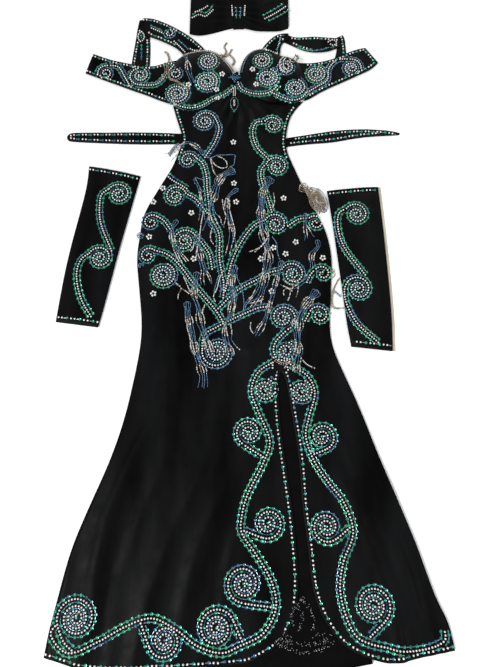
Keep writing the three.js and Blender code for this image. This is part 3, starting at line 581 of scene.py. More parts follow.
# Shape: its mesh, and the room that it takes up about its middle
SHAPES = {
    "pearl": (ball(1.95), 1.95),
    "row_pearl": (ball(1.75), 1.75),
    "petal": (ball(2.3), 2.2),
    "seed": (ball(1.15, 1), 1.1),
    "chain_bead": (ball(1.4, 1), 1.35),
    "sequin": (cup_sequin(8, 2.7), 2.5),
    "link": (tube(5, 0.75, 4.6), 1.5),
    "bugle": (tube(6, 0.8, 5.4), 1.6),
    "long_bugle": (tube(5, 0.62, 5.7), 1.5),
    "stitch": (tube(4, 0.28, 2.4), 0.3),
}
ROUND_SHAPES = ("pearl", "row_pearl", "petal", "seed", "chain_bead")

# Where beads go

# Cell of the search grid, share of their room that beads keep, rise and size of a sequin's bead
CELL = 6.0
CROWDING = 0.84
SEED_RISE, SEED_SIZE = 0.5, 0.72
chance = random.Random(41)
beads = defaultdict(list)
taken = defaultdict(list)
ground = None


def seat(x, y, from_camera):
    """Where a bead sits: the cloth seen at a floor point from the camera, or right below it."""
    target = Vector(row_points((x, y, 0)))
    start = EYE if from_camera else target + Vector((0, 0, 0.2))
    hit, normal, _, _ = ground.ray_cast(start, (target - start).normalized())
    if hit is None:
        return None
    return garment_points(hit), np.array(normal if normal.z > 0 else -normal)


def neighbours(x, y):
    """The beads in the cells about a place, with the room that each takes."""
    cx, cy = int(x // CELL), int(y // CELL)
    return [row for i in (-1, 0, 1) for j in (-1, 0, 1) for row in taken[cx + i, cy + j]]


def put(group, look, shape, at, heading=(1, 0), from_camera=True, size=1.0):
    """One bead, unless there is no cloth there or another bead is in the way."""
    found = seat(at[0], at[1], from_camera)
    if found is None:
        return False
    point, normal = found
    room = SHAPES[shape][1] * size
    for other, other_room in neighbours(point[0], point[1]):
        if np.linalg.norm(point - other) < CROWDING * (room + other_room):
            return False
    taken[int(point[0] // CELL), int(point[1] // CELL)].append((point, room))
    ahead = np.array([heading[0], heading[1], 0.0])
    beads[group].append((look, shape, point, normal, ahead, size))
    return True


def put_sequin(group, look, at, heading, from_camera=True, size=1.0):
    """A sequin with a small bead in its middle."""
    if put(group, look, "sequin", at, heading, from_camera, size):
        _, _, point, normal, ahead, _ = beads[group][-1]
        beads[group].append(("aqua", "seed", point + normal * SEED_RISE, normal, ahead, SEED_SIZE))


def put_row(group, look, shape, line, pitch, first=0.0, from_camera=True, size=1.0):
    """Beads of one kind every pitch along a line."""
    for at, heading in spaced(line, pitch, first):
        put(group, look, shape, at, heading, from_camera, size)


def placed(look, shape, point, normal, ahead, size):
    """One bead in its place: its points, faces, look and whether it is round."""
    ahead = ahead - normal * (ahead @ normal)
    ahead = ahead / max(1e-9, np.linalg.norm(ahead))
    turn = np.stack([ahead, np.cross(normal, ahead), normal])
    points, faces = SHAPES[shape][0]
    return points * size @ turn + point, faces, look, shape in ROUND_SHAPES


def bead_piece(name, parts):
    """One piece from (points, faces, look, is round) parts, with a material for each look."""
    looks = sorted({part[2] for part in parts})
    points, faces, kinds, smooth_faces, first = [], [], [], [], 0
    for part_points, part_faces, look, is_round in parts:
        points.append(part_points)
        faces.append(part_faces + first)
        kinds.append(np.full(len(part_faces), looks.index(look)))
        smooth_faces.append(np.full(len(part_faces), is_round))
        first += len(part_points)
    faces = np.vstack(faces)
    mesh = bpy.data.meshes.new(name)
    mesh.vertices.add(first)
    mesh.vertices.foreach_set("co", row_points(np.vstack(points)).ravel())
    mesh.loops.add(faces.size)
    mesh.loops.foreach_set("vertex_index", faces.ravel())
    mesh.polygons.add(len(faces))
    mesh.polygons.foreach_set("loop_start", np.arange(0, faces.size, 3))
    for look in looks:
        mesh.materials.append(finishes[look])
    mesh.polygons.foreach_set("material_index", np.concatenate(kinds))
    mesh.update(calc_edges=True)
    mesh.validate()
    mesh.polygons.foreach_set("use_smooth", np.concatenate(smooth_faces))
    piece = shown(name, mesh)
    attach(piece, "root")
    return piece


# Scrolls, stems and borders

# Pitches of pearls, of a spiral's inner row and of sequins, and a sequin's size in an inner row
PEARL_PITCH, INNER_PITCH, UNIT = 5.6, 5.6, 11.2
INNER_SIZE = 0.8
# From a row of pearls to the sequins beside it, from turn to turn, and what an arm adds to that
ROW_ASIDE, COIL_PITCH, ARM_GAP = 6.4, 7.8, 4.2
PALETTES = {
    "mixed": (("green", 5), ("teal", 5), ("blue", 2)),
    "green": (("green", 7), ("teal", 3), ("blue", 1)),
    "blue": (("green", 1), ("teal", 3), ("blue", 5)),
    "teal": (("green", 2), ("teal", 7), ("blue", 2)),
}


def runs(palette):
    """Endless colours, in short runs as a sewer picks them from the dish."""
    looks = [look for look, share in PALETTES[palette] for _ in range(share)]
    while True:
        look = chance.choice(looks)
        for _ in range(chance.randint(1, 4)):
            yield look


def pearl_row(group, line, pitch=PEARL_PITCH, look="pearl", shape="row_pearl", from_camera=True):
    put_row(group, look, shape, line, pitch, from_camera=from_camera)


def sequin_row(group, line, palette, from_camera=True):
    """Sequins with a small bead in each, and a pale link between them."""
    colours = runs(palette)
    for at, heading in spaced(line, UNIT, first=UNIT * 0.3):
        put_sequin(group, next(colours), at, heading, from_camera)
    put_row(group, "aqua", "link", line, UNIT, UNIT * 0.8, from_camera)


def inner_row(group, line, palette):
    """The row between two turns of a spiral: two dark bugles, then a sequin."""
    colours = runs(palette)
    for n, (at, heading) in enumerate(spaced(line, INNER_PITCH, first=2)):
        if n % 3 == 2:
            put_sequin(group, next(colours), at, heading, size=INNER_SIZE)
        else:
            look = chance.choice(("navy", "blue", "aqua", "slate"))
            put(group, look, "bugle", at, heading, size=0.85)


def spiral_line(centre, ring, start, turn, arm, least=3.0):
    """Inwards from the outer ring, whose first turn keeps a wide gap where there is an arm."""
    total = (ring - arm - least) / COIL_PITCH * TURN
    angle = np.linspace(0, total, max(12, int(total / 0.12)))
    radius = ring - arm * smooth(0, TURN, angle) - COIL_PITCH * angle / TURN
    bearing = start - turn * angle
    line = np.stack([centre[0] + radius * np.cos(bearing), centre[1] + radius * np.sin(bearing)], 1)
    return line, radius, bearing


def scroll(x, y, radius, palette, turn=0, tail=()):
    """A spiral of pearls with sequins outside, and a stem if it has a tail.

    With a turn of 1 (clockwise) or -1, the stem meets the outer ring along its tangent.
    """
    tail = [*np.reshape(tail, (-1, 2)).astype(float)]
    arm = ARM_GAP if tail else 0.0
    ring = radius - ROW_ASIDE + 3.0 + arm / 2
    if turn:
        away = math.dist((x, y), tail[0])
        start = math.atan2(tail[0][1] - y, tail[0][0] - x) - turn * math.acos(min(1.0, ring / away))
        touch = (x + ring * math.cos(start), y + ring * math.sin(start))
        tail = [touch, *tail]
    elif tail:
        start = math.atan2(tail[0][1] - y, tail[0][0] - x)
        ahead = np.subtract(tail[1], tail[0])
        turn = np.sign(math.cos(start) * ahead[1] - math.sin(start) * ahead[0]) or 1
    else:
        start, turn = 1.2, 1
    coil, reach, bearing = spiral_line((x, y), ring, start, turn, arm)
    passed = np.abs(bearing - start)
    once = int(np.searchsorted(passed, TURN))
    onward = np.interp(passed + TURN, passed, reach, right=0)
    inside = onward > 0
    between = (reach + onward)[inside] / 2
    middle = np.stack([x + between * np.cos(bearing[inside]), y + between * np.sin(bearing[inside])], 1)
    rows = {"pearls": [coil], "outer": [beside(coil[:once], turn * ROW_ASIDE)], "inner": [middle],
            "centre": [(x, y)]}
    if tail:
        line = spline([*reversed(tail[1:]), tuple(coil[0]), tuple(coil[3])])
        line = line[lengths(line) < lengths(line)[-1] - lengths(coil[:4])[-1]]
        rows["pearls"].append(line)
        rows["outer"] += [beside(line, ROW_ASIDE), beside(line, -ROW_ASIDE)]
    return rows, palette


def stem(path):
    line = spline(path)
    outer = [beside(line, ROW_ASIDE), beside(line, -ROW_ASIDE)]
    return {"pearls": [line], "outer": outer, "inner": [], "centre": []}, "mixed"


# Scrolls as x, y, radius, palette, turn and tail; a path alone is a stem
SKIRT = [
    (-306, -281, 35, "teal", 0, [-339, -285, -332, -305, -322, -321, -309, -331]),
    [-338, -289, -348, -305, -317, -335, -265, -318, -220, -295, -174, -281, -131, -298, -92, -324,
        -49, -335, -17, -324, 24, -304, 46, -264, 39, -223, 9, -174, -16, -139, -16, -118, -7, -80,
        25, -17, 38, 21, 15, 82, 3, 120, 16, 156, 46, 177],
    (-149, -316, 29, "blue", -1, [-192, -289]),
    (-59, -297, 33, "mixed", -1, [-14, -317]),
    (-11, -226, 32, "blue", 1, [42, -264]),
    (33, -124, 28, "mixed", -1, [-11, -137]),
    (-2, 40, 26, "mixed", 1, [25, -6]),
    (29, 122, 25, "mixed"),
    (101, 119, 25, "mixed"),
    [81, 172, 116, 146, 127, 117, 114, 68, 107, 34, 121, -12, 149, -55, 174, -87, 189, -139, 169, -189,
        161, -235, 170, -279, 186, -309, 209, -321, 238, -327, 267, -333, 325, -324, 340, -314, 340, -297],
    (138, 32, 26, "mixed", -1, [117, -3]),
    (141, -130, 28, "mixed", 1, [183, -132]),
    (218, -261, 33, "teal", -1, [210, -310]),
]
BODY = [
    (-102, 731, 26, "blue", 0, [-77, 738, -70, 715, -78, 679, -100, 639]),
    (52, 722, 22, "green", 0, [33, 733, 14, 728, 6, 705, 16, 664, 40, 636]),
    (59, 616, 25, "green", 0, [38, 622, 26, 610, 24, 590, 39, 536, 47, 505]),
    (-137, 631, 20, "teal", 0, [-118, 638, -106, 625, -96, 594, -93, 557, -83, 493, -66, 454, -64, 397,
        -54, 337, -55, 311]),
    (-162, 543, 25, "mixed", 0, [-140, 550, -118, 536, -92, 503]),
    (-211, 481, 19, "blue", 0, [-199, 498, -184, 484, -168, 461]),
    (-139, 438, 27, "green", 0, [-120, 450, -100, 430, -86, 408, -79, 374]),
    (-214, 404, 19, "teal", 0, [-198, 420, -176, 408, -154, 390, -103, 324, -69, 283, -55, 260]),
    (-181, 361, 29, "blue"),
    (-66, 197, 31, "blue", -1, [-92, 232, -65, 250, -28, 269, 20, 290, 44, 292]),
    (55, 477, 25, "mixed", 0, [32, 488, 14, 478, -6, 456, -36, 397, -51, 326]),
    (140, 479, 19, "green", 0, [126, 493, 104, 488, 81, 472]),
    (89, 363, 26, "teal", 0, [67, 374, 40, 366, 17, 352, -25, 328, -65, 288]),
    (151, 364, 18, "green", 0, [139, 374, 127, 363, 118, 345]),
    (67, 269, 28, "blue", 0, [78, 243, 62, 230, 50, 215, 47, 200, 54, 182]),
    (72, 199, 22, "teal"),
    (141, 274, 21, "green", 1, [112, 262]),
]
BODICE = [
    (-337, 862, 22, "blue", -1, [-309, 879, -292, 852, -276, 822]),
    (-256, 855, 27, "mixed", 1, [-217, 831, -196, 856, -178, 884]),
    (-168, 807, 29, "teal"),
    (-99, 895, 25, "blue"),
    (-101, 839, 29, "teal"),
    (28, 897, 23, "green"),
    (41, 850, 27, "teal"),
    (82, 878, 21, "blue"),
    (105, 823, 25, "blue"),
    (153, 859, 26, "teal"),
    (238, 876, 26, "blue", 1, [205, 898, 185, 875, 179, 842, 156, 825, 133, 809]),
    (-174, 860, 16, "blue"),
    (-194, 975, 14, "blue"),
    [-36, 825, -59, 805, -85, 792, -111, 775, -135, 768, -158, 772, -179, 784],
    [-28, 836, -18, 818, 3, 808, 29, 806, 48, 812, 65, 830],
    [51, 809, 76, 796, 100, 789, 120, 797, 136, 822],
]
GAUNTLET = [
    (-286, 548, 26, "green", 0, [-308, 562, -322, 548, -325, 522, -320, 481, -292, 415]),
    (-316, 399, 26, "green", 0, [-338, 410, -354, 396, -361, 366, -348, 311, -324, 271]),
    (229, 500, 26, "green", 0, [208, 514, 193, 504, 188, 486, 196, 431, 240, 361]),
    (224, 331, 27, "mixed", 0, [204, 348, 196, 332, 197, 304, 217, 258, 258, 217]),
]
ROSETTES = [
    (-37, 677), (-35, 574), (-30, 529), (-126, 503), (-214, 447), (-118, 397), (-199, 320), (73, 538),
    (97, 435), (50, 422), (75, 408), (23, 397), (153, 399), (45, 325), (-209, 529),
    (-66, 859), (-78, 818), (-74, 794), (7, 872), (15, 832), (-142, 830), (-190, 562),
]
# Single rows of beads: kind, path
ROWS = {
    "headband_beads": [
        ("pearls", [-139, 1021, -123, 1030, -108, 1025, -96, 1036, -87, 1048]),
        ("pearls", [-132, 1038, -116, 1046, -100, 1058]),
        ("green", [-140, 1030, -124, 1040, -108, 1036, -96, 1048, -90, 1060]),
        ("pearls", [36, 1018, 64, 1036, 90, 1057]),
        ("green", [30, 1027, 57, 1045, 80, 1063]),
        ("teal", [44, 1011, 72, 1028, 97, 1047]),
        ("pearls", [-44, 1056, -43, 1040, -42, 1024]),
        ("blue", [-34, 1054, -33, 1038, -33, 1020]),
        ("blue", [-23, 1054, -23, 1038, -24, 1020]),
        ("pearls", [-12, 1056, -13, 1040, -14, 1024]),
    ],
    "bodice_beads": [
        ("pearls", [94, 897, 104, 906, 113, 912, 111, 897]),
        ("green", [-240, 999, -226, 992, -211, 984]),
        ("pearls", [-236, 990, -222, 983, -208, 975]),
        ("pearls", [-180, 951, -167, 937, -154, 921]),
        ("green", [-172, 957, -158, 943, -145, 928]),
        ("pearls", [-150, 936, -134, 926, -115, 925]),
        ("pearls", [-259, 979, -253, 970, -253, 959, -260, 951, -266, 960, -266, 972, -261, 979]),
        ("teal", [-260, 972, -259, 958]),
        ("blue", [-258, 944, -257, 928, -256, 912, -256, 896]),
        ("teal", [63, 925, 68, 943, 73, 962]),
        ("blue", [112, 934, 140, 926, 168, 928, 190, 936]),
        ("pearls", [186, 950, 198, 956, 206, 948, 198, 940, 187, 946]),
    ],
    "body_beads": [
        ("pearls", [-183, 594, -169, 581, -151, 570, -135, 559]),
        ("green", [-178, 600, -164, 587, -147, 576, -131, 565]),
        ("pearls", [45.5, 176, 45, 168, 45, 160]),
        ("pearls", [73, 172, 75, 164, 76, 156]),
        ("rope", [50, 179, 60, 173, 71, 171, 84, 177]),
        ("pearls", [47, 186, 57, 182, 72, 180, 86, 186]),
    ],
    "skirt_beads": [
        ("jet", [96, -246, 80, -262, 72, -280, 76, -296]),
        ("jet", [92, -252, 106, -266, 112, -286, 108, -304]),
        ("jet", [84, -262, 92, -276, 90, -292, 80, -300]),
        ("jet", [46, -318, 66, -330, 96, -334, 124, -330, 148, -318]),
        ("jet", [52, -312, 76, -320, 104, -322, 128, -318, 142, -308]),
        ("jet", [60, -304, 70, -312, 64, -324, 50, -322]),
        ("jet", [112, -312, 124, -306, 134, -314, 128, -324]),
    ],
}
# A rosette's petals from its middle, a rope's two rows, and strewn jet beads about their line
PETAL_OUT = 4.5
ROPE_PITCH, ROPE_ASIDE, ROPE_SEED_PITCH = 4.6, 3.6, 3.4
JET_PITCH, JET_REACH = 4.6, 3.4
# Rows of the bow: height, ends
BOW_ROWS = [(0, -15.5, 15.5), (2.9, -10.5, 10.5), (-2.9, -10.5, 10.5), (5.8, -7.5, -2.5), (5.8, 2.5, 7.5),
            (-5.8, -5.5, 5.5), (-8.7, -3.0, 3.0), (-11.6, -2.6, 2.6)]
BOW_PITCH = 4.6
# How far below the drop's top its loop starts and ends, and half the loop's width
LOOP_TOP, LOOP_END, LOOP_HALF = 26, 60, 8.5
# The drop's beads: how many in a row, pitch and way from the middle, above the loop and inside it
NECK_BEADS, NECK_PITCH, NECK_ASIDE = 8, 3.1, 2.1
LEAF_BEADS, LEAF_PITCH, LEAF_ASIDE = 5, 3.6, (1.2, 1.9)
DROP_SIZE = 1.1


def rosette(x, y):
    """A small flower of five pearls."""
    spin = chance.uniform(0, 1)
    group = "bodice_beads" if y > 745 else "body_beads"
    for k in range(5):
        angle = spin + k * TURN / 5
        put(group, "pearl", "petal", (x + PETAL_OUT * math.cos(angle), y + PETAL_OUT * math.sin(angle)))
    put(group, "tan", "seed", (x, y), size=0.9)


def scatter(group, line):
    """Small dark glass beads strewn about a line."""
    for at, heading in spaced(line, JET_PITCH):
        for _ in range(2):
            around = [middle + chance.uniform(-JET_REACH, JET_REACH) for middle in at]
            put(group, "jet", "seed", around, (chance.uniform(-1, 1), 1.0))
        if chance.random() < 0.3:
            put(group, "pearl", "seed", at, heading, size=0.7)


def single_row(group, kind, line, from_camera=True):
    """A row of one kind: pearls, a pearl and tan rope, jet beads, or sequins of a palette."""
    if kind == "pearls":
        pearl_row(group, line, from_camera=from_camera)
    elif kind == "jet":
        scatter(group, line)
    elif kind == "rope":
        pearl_row(group, line, ROPE_PITCH, "tan", "row_pearl", from_camera)
        pearl_row(group, beside(line, ROPE_ASIDE), ROPE_SEED_PITCH, "pearl", "seed", from_camera)
    else:
        sequin_row(group, line, kind, from_camera)


def bow(x, y):
    """The star-shaped bow of blue bugles in the middle of the bust."""
    for rise, left, right in BOW_ROWS:
        count = max(1, round((right - left) / BOW_PITCH))
        for k in range(count):
            across = left + (right - left) * (k + 0.5) / count
            lean = (1.0, -0.25 * np.sign(across) * np.sign(rise))
            put("bodice_beads", "sky", "bugle", (x + across, y + rise), lean, size=0.92)
    put("bodice_beads", "sky", "seed", (x, y + 8.4))


def drop(x, top):
    """A short pearl strand with a leaf-shaped loop and a tip below the bow."""
    high, low = top - LOOP_TOP, top - LOOP_END
    middle = (high + low) / 2
    for k in range(NECK_BEADS):
        for side in (-1, 1):
            at = (x + NECK_ASIDE * side, top - NECK_PITCH * k)
            put("drop_beads", "pearl", "seed", at, size=DROP_SIZE)
    for side in (-1, 1):
        arc = [
            (x + side * LOOP_HALF * math.sin(t), middle + (high - low) / 2 * math.cos(t))
            for t in np.linspace(0.1, math.pi - 0.1, 12)
        ]
        put_row("drop_beads", "aqua", "bugle", spline(arc), 3.6, first=1.5, size=0.62)
    for k in range(LEAF_BEADS):
        for side in (-1, 1):
            at = (x + LEAF_ASIDE[k % 2] * side, high - 8 - LEAF_PITCH * k)
            put("drop_beads", "pearl", "seed", at, size=DROP_SIZE)
    put("drop_beads", "teal", "sequin", (x, low - 4))


def edge_line(node, inset, places):
    """A stretch of a cloth piece's edge, moved inwards: its start, its end and a place between."""
    ring = edges[node]
    nearest = [int(np.argmin(np.linalg.norm(ring - p, axis=1))) for p in np.reshape(places, (-1, 2))]
    first, last, middle = nearest
    onward = (last - first) % len(ring)
    if (middle - first) % len(ring) <= onward:
        line = ring[[(first + k) % len(ring) for k in range(onward + 1)]]
    else:
        line = ring[[(first - k) % len(ring) for k in range((first - last) % len(ring) + 1)]]
        inset = -inset
    far = lengths(line)
    where = np.linspace(0, far[-1], max(3, int(far[-1] / EDGE_STEP)))
    line = beside(sampled(line, far, where), inset)
    for _ in range(EDGE_ROUNDS):
        line[1:-1] = (line[:-2] + 2 * line[1:-1] + line[2:]) / 4
    return line


# An edge is sampled at this step and smoothed in so many rounds
EDGE_STEP, EDGE_ROUNDS = 3, 6
# A border repeats two pearls, a link and a sequin, at these places in its unit
BORDER_UNIT = 26.5
PAIR_PLACES = (2.5, 9.9)
LINK_PLACE = 16.0
SEQUIN_PLACE = 20.6
STITCH_INSET, STITCH_PITCH = 2.2, 3.6


def border(group, line):
    """Two pearls, then a pale link with a sequin, over and over."""
    colours = runs("mixed")
    for first in PAIR_PLACES:
        put_row(group, "pearl", "pearl", line, BORDER_UNIT, first, from_camera=False)
    put_row(group, "aqua", "link", line, BORDER_UNIT, LINK_PLACE, from_camera=False)
    for at, heading in spaced(line, BORDER_UNIT, first=SEQUIN_PLACE):
        put_sequin(group, next(colours), at, heading, from_camera=False)


# Borders: group, inset, and for each the node with a start, an end and a place between
BORDERS = [
    ("skirt_beads", 7, [
        ("front_panel", [-353, -341, 52, 158, 10, -100]),
        ("front_panel", [70, 158, 353, -333, 110, -100]),
    ]),
    ("body_beads", 6.2, [
        ("front_panel", [-171, 760, -163, 632, -152, 690]),
        ("front_panel", [107, 760, 90, 632, 82, 690]),
    ]),
    ("bodice_beads", 6.2, [
        ("wing_left", [-370, 912, -176, 896, -280, 884]),
        ("wing_left", [-383, 860, -196, 780, -280, 815]),
        ("wing_right", [130, 886, 298, 890, 228, 916]),
        ("wing_right", [140, 792, 300, 888, 208, 831]),
        ("strap_left_front", [-256, 1016, -110, 930, -200, 1000]),
        ("strap_left_front", [-248, 968, -156, 909, -203, 946]),
        ("strap_left_back", [-270, 980, -279, 868, -275, 930]),
        ("strap_left_back", [-240, 955, -235, 866, -236, 930]),
        ("strap_right_front", [26, 920, 80, 972, 48, 955]),
        ("strap_right_front", [66, 898, 82, 952, 72, 925]),
        ("strap_right_middle", [100, 964, 213, 957, 160, 963]),
        ("strap_right_middle", [100, 940, 212, 934, 150, 918]),
        ("strap_right_back", [221, 966, 227, 902, 226, 930]),
    ]),
    ("body_beads", 6.6, [
        ("waist_band_left", [-408, 697, -160, 699, -325, 701]),
        ("waist_band_left", [-407, 681, -160, 672, -325, 674]),
        ("waist_band_right", [94, 689, 330, 703, 192, 707]),
        ("waist_band_right", [94, 666, 300, 693, 186, 675]),
    ]),
    ("gauntlet_beads", 8, [
        ("gauntlet_left_front", [-352, 613, -243, 592, -300, 604]),
    ]),
    ("gauntlet_beads", 10, [
        ("gauntlet_left_front", [-392, 261, -309, 250, -350, 254]),
    ]),
    ("gauntlet_beads", 8, [
        ("gauntlet_right_front", [169, 555, 277, 563, 220, 560]),
    ]),
    ("gauntlet_beads", 10, [
        ("gauntlet_right_front", [204, 207, 283, 200, 245, 203]),
    ]),
]
# Cup edges: node, kind, inset, places
EDGE_ROWS = [
    ("cup_left", "rope", 3.2, [-36, 852, -150, 890, -88, 905]),
    ("cup_right", "pearls", 3.2, [-24, 850, 66, 905, 12, 905]),
    ("cup_right", "blue", 8.6, [-24, 850, 40, 912, 6, 902]),
]

# Fringe

# Strands, pitch, look and path of each bunch
FRINGES = {
    "fringe_waist_left": (3, 3.4, "slate", [-100, 639, -120, 664, -137, 672, -152, 663, -166, 652,
        -181, 639]),
    "fringe_waist_middle": (5, 3.3, "slate", [-33, 606, -60, 590, -77, 548, -83, 512, -77, 484, -65, 463]),
    "fringe_waist_inner": (3, 3.4, "slate", [-26, 560, -47, 538, -46, 491, -37, 449, -42, 402]),
    "fringe_waist_outer": (2, 3.6, "slate", [-122, 584, -110, 556, -104, 525, -101, 484]),
    "fringe_side_left": (3, 3.5, "slate", [-156, 486, -166, 451, -149, 410, -136, 386]),
    "fringe_belly_left": (4, 3.3, "slate", [-113, 449, -108, 415, -97, 378, -90, 338]),
    "fringe_hip_left": (4, 3.3, "slate", [-109, 367, -113, 337, -114, 313, -107, 291, -99, 257, -91, 228,
        -84, 186]),
    "fringe_hip_outer": (4, 3.3, "slate", [-129, 303, -125, 270, -118, 239, -109, 204, -99, 175, -92, 147,
        -91, 125]),
    "fringe_middle": (4, 3.3, "slate", [-31, 381, -38, 344, -33, 313, -38, 283, -47, 241, -36, 196]),
    "fringe_belly_right": (5, 3.3, "slate", [46, 587, 28, 545, 24, 500, 27, 460, 37, 415, 34, 372, 20, 325,
        -2, 283]),
    "fringe_belly_low": (3, 3.4, "slate", [66, 392, 55, 348, 42, 300, 30, 262, 14, 230]),
    "fringe_side_right": (3, 3.4, "slate", [118, 500, 118, 474, 125, 442]),
    "fringe_side_low": (3, 3.4, "slate", [141, 440, 144, 424, 129, 402, 130, 372]),
    "fringe_curl_right": (2, 3.8, "slate", [122, 352, 102, 338, 86, 334, 64, 344]),
    "fringe_hip_right": (5, 3.3, "slate", [140, 326, 112, 292, 97, 258, 95, 208, 82, 158]),
    "fringe_edge_right": (5, 2.9, "tan", [108, 566, 126, 556, 141, 542, 152, 522, 155, 503]),
    "fringe_cup_left": (3, 3.4, "slate", [-150, 895, -144, 868, -138, 835, -130, 800]),
    "fringe_wing_left": (2, 3.8, "tan", [-199, 884, -195, 866, -200, 844, -210, 822]),
}
# Highest top of a bead, how near one carries a string, and the string's own lift
BEAD_TOP, BEAD_MARGIN, STRING_LIFT = 4.1, 1.2, 0.2
# Lengths of a bunch's stretches of bugles and of round beads, which are longer in a tan one
BUGLE_STRETCH, BEAD_STRETCH, TAN_LONGER = (24, 38), (18, 27), 2.2
# Each strand: how far its end strays, and the least and most of its drift and of the drift's period
FLARE, DRIFT, PERIOD = 9, (0.6, 2.2), (60, 110)
# Share of pearls among a bunch's round beads, and how wide the strands lie along it
PEARLY = {"tan": 0.1, "slate": 0.65}
PINCHED, SPREAD, LOOP_OPEN = 0.85, 1.4, 0.5
BUGLE_PITCH, BEAD_PITCH = 6.1, 3.0


def bead_height(x, y):
    """The top of the beadwork at a place, or of the cloth where there is none."""
    found = seat(x, y, from_camera=False)
    high = 0.0 if found is None else found[0][2]
    for other, room in neighbours(x, y):
        if math.hypot(x - other[0], y - other[1]) < room + BEAD_MARGIN:
            high = max(high, other[2] + min(BEAD_TOP, 1.9 * room))
    return high


def window(values, reach, pick):
    """The highest or the mean of the values within reach of each place."""
    padded = np.pad(values, reach, mode="edge")
    return pick([padded[k:k + len(values)] for k in range(2 * reach + 1)], axis=0)


def at_rest(line):
    """The line with its height: on whatever is below it."""
    high = np.array([bead_height(x, y) for x, y in line])
    return np.column_stack([line, window(window(high, 3, np.max), 3, np.mean) + STRING_LIFT])


def stretches(reach, look):
    """Where a bunch changes between bugles and round beads: ends of the stretches and their kinds."""
    far, kinds, bugles = [], [], look == "slate"
    longer = TAN_LONGER if look == "tan" else 1
    here = 0.0
    while here < reach:
        here += chance.uniform(*BUGLE_STRETCH) if bugles else chance.uniform(*BEAD_STRETCH) * longer
        far.append(here)
        kinds.append(bugles)
        bugles = not bugles
    return far, kinds


def lanes(far, ends, kinds):
    """How wide the bunch lies along its way: a loop at the root, pinched at bugles, wide at beads."""
    wide = np.full(far.shape, PINCHED)
    start = 0.0
    for end, bugles in zip(ends, kinds):
        if not bugles:
            opened = (SPREAD - PINCHED) * smooth(start - 4, start + 6, far)
            wide += opened * (1 - smooth(end - 6, end + 4, far))
        start = end
    loop = smooth(0, 5, far) * (1 - smooth(9, 19, far))
    return wide * smooth(0, 4, far) + LOOP_OPEN * loop


def strand_line(line, aside, open_by, sway):
    """A strand of a bunch: it drifts about its own lane, and its end goes its own way."""
    far = lengths(line)
    share = far / far[-1]
    size, period, phase, flare = sway
    drift = size * np.sin(2 * math.pi * far / period + phase) * smooth(0.1, 0.4, share)
    return at_rest(beside(line, aside * open_by + drift + flare * share ** 5))


def hang_on(parts, line, here, shape, look, pitch):
    """One bead of a string at a length along it."""
    far = lengths(line)
    point, heading = sampled(line, far, here + pitch / 2), sampled(headings(line), far, here + pitch / 2)
    heading /= np.linalg.norm(heading)
    up = np.array([0.0, 0.0, 1.0]) - heading * heading[2]
    up /= np.linalg.norm(up)
    points, faces = SHAPES[shape][0]
    parts.append((points @ np.stack([heading, np.cross(up, heading), up]) + point, faces, look, True))


def chain(line, ends, kinds, pearly):
    """Beads threaded along a line: bugles in some stretches, round beads in the others."""
    reach = lengths(line)[-1] - 2
    parts, here, n, late = [], chance.uniform(0, 1.5), 0, chance.uniform(-3, 3)
    while here < reach:
        while n < len(ends) - 1 and here > ends[n] + late:
            n += 1
        if kinds[n]:
            hang_on(parts, line, here, "long_bugle", "slate", BUGLE_PITCH)
            here += BUGLE_PITCH
        else:
            pale = "pearl" if chance.random() < pearly else "tan"
            hang_on(parts, line, here, "chain_bead", pale, BEAD_PITCH)
            here += BEAD_PITCH
    return parts


def hang_fringe(name, strands, pitch, look, path):
    """The strands of a bunch: stretches of one kind lie side by side in all of them."""
    parts = []
    flares = sorted(chance.uniform(-FLARE, FLARE) for _ in range(strands))
    middle = spline(path, step=2.0)
    ends, kinds = stretches(lengths(middle)[-1], look)
    open_by = lanes(lengths(middle), ends, kinds)
    for i in range(strands):
        aside = (i - (strands - 1) / 2) * pitch
        sway = (chance.uniform(*DRIFT), chance.uniform(*PERIOD), chance.uniform(0, 6.3), flares[i])
        parts += chain(strand_line(middle, aside, open_by, sway), ends, kinds, PEARLY[look])
    piece = bead_piece(name + "_strands", parts)
    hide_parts(name)


def coil(x, y, wide, high, turns):
    """Floor points of a string that lies in an oval coil, leaning to the right."""
    path = []
    for k in range(turns * 16 + 1):
        out, angle = 0.2 + 0.05 * k / turns, math.pi * k / 8
        up = high * out * math.sin(angle)
        path.append((x + wide * out * math.cos(angle) - 0.2 * up, y + up))
    return path


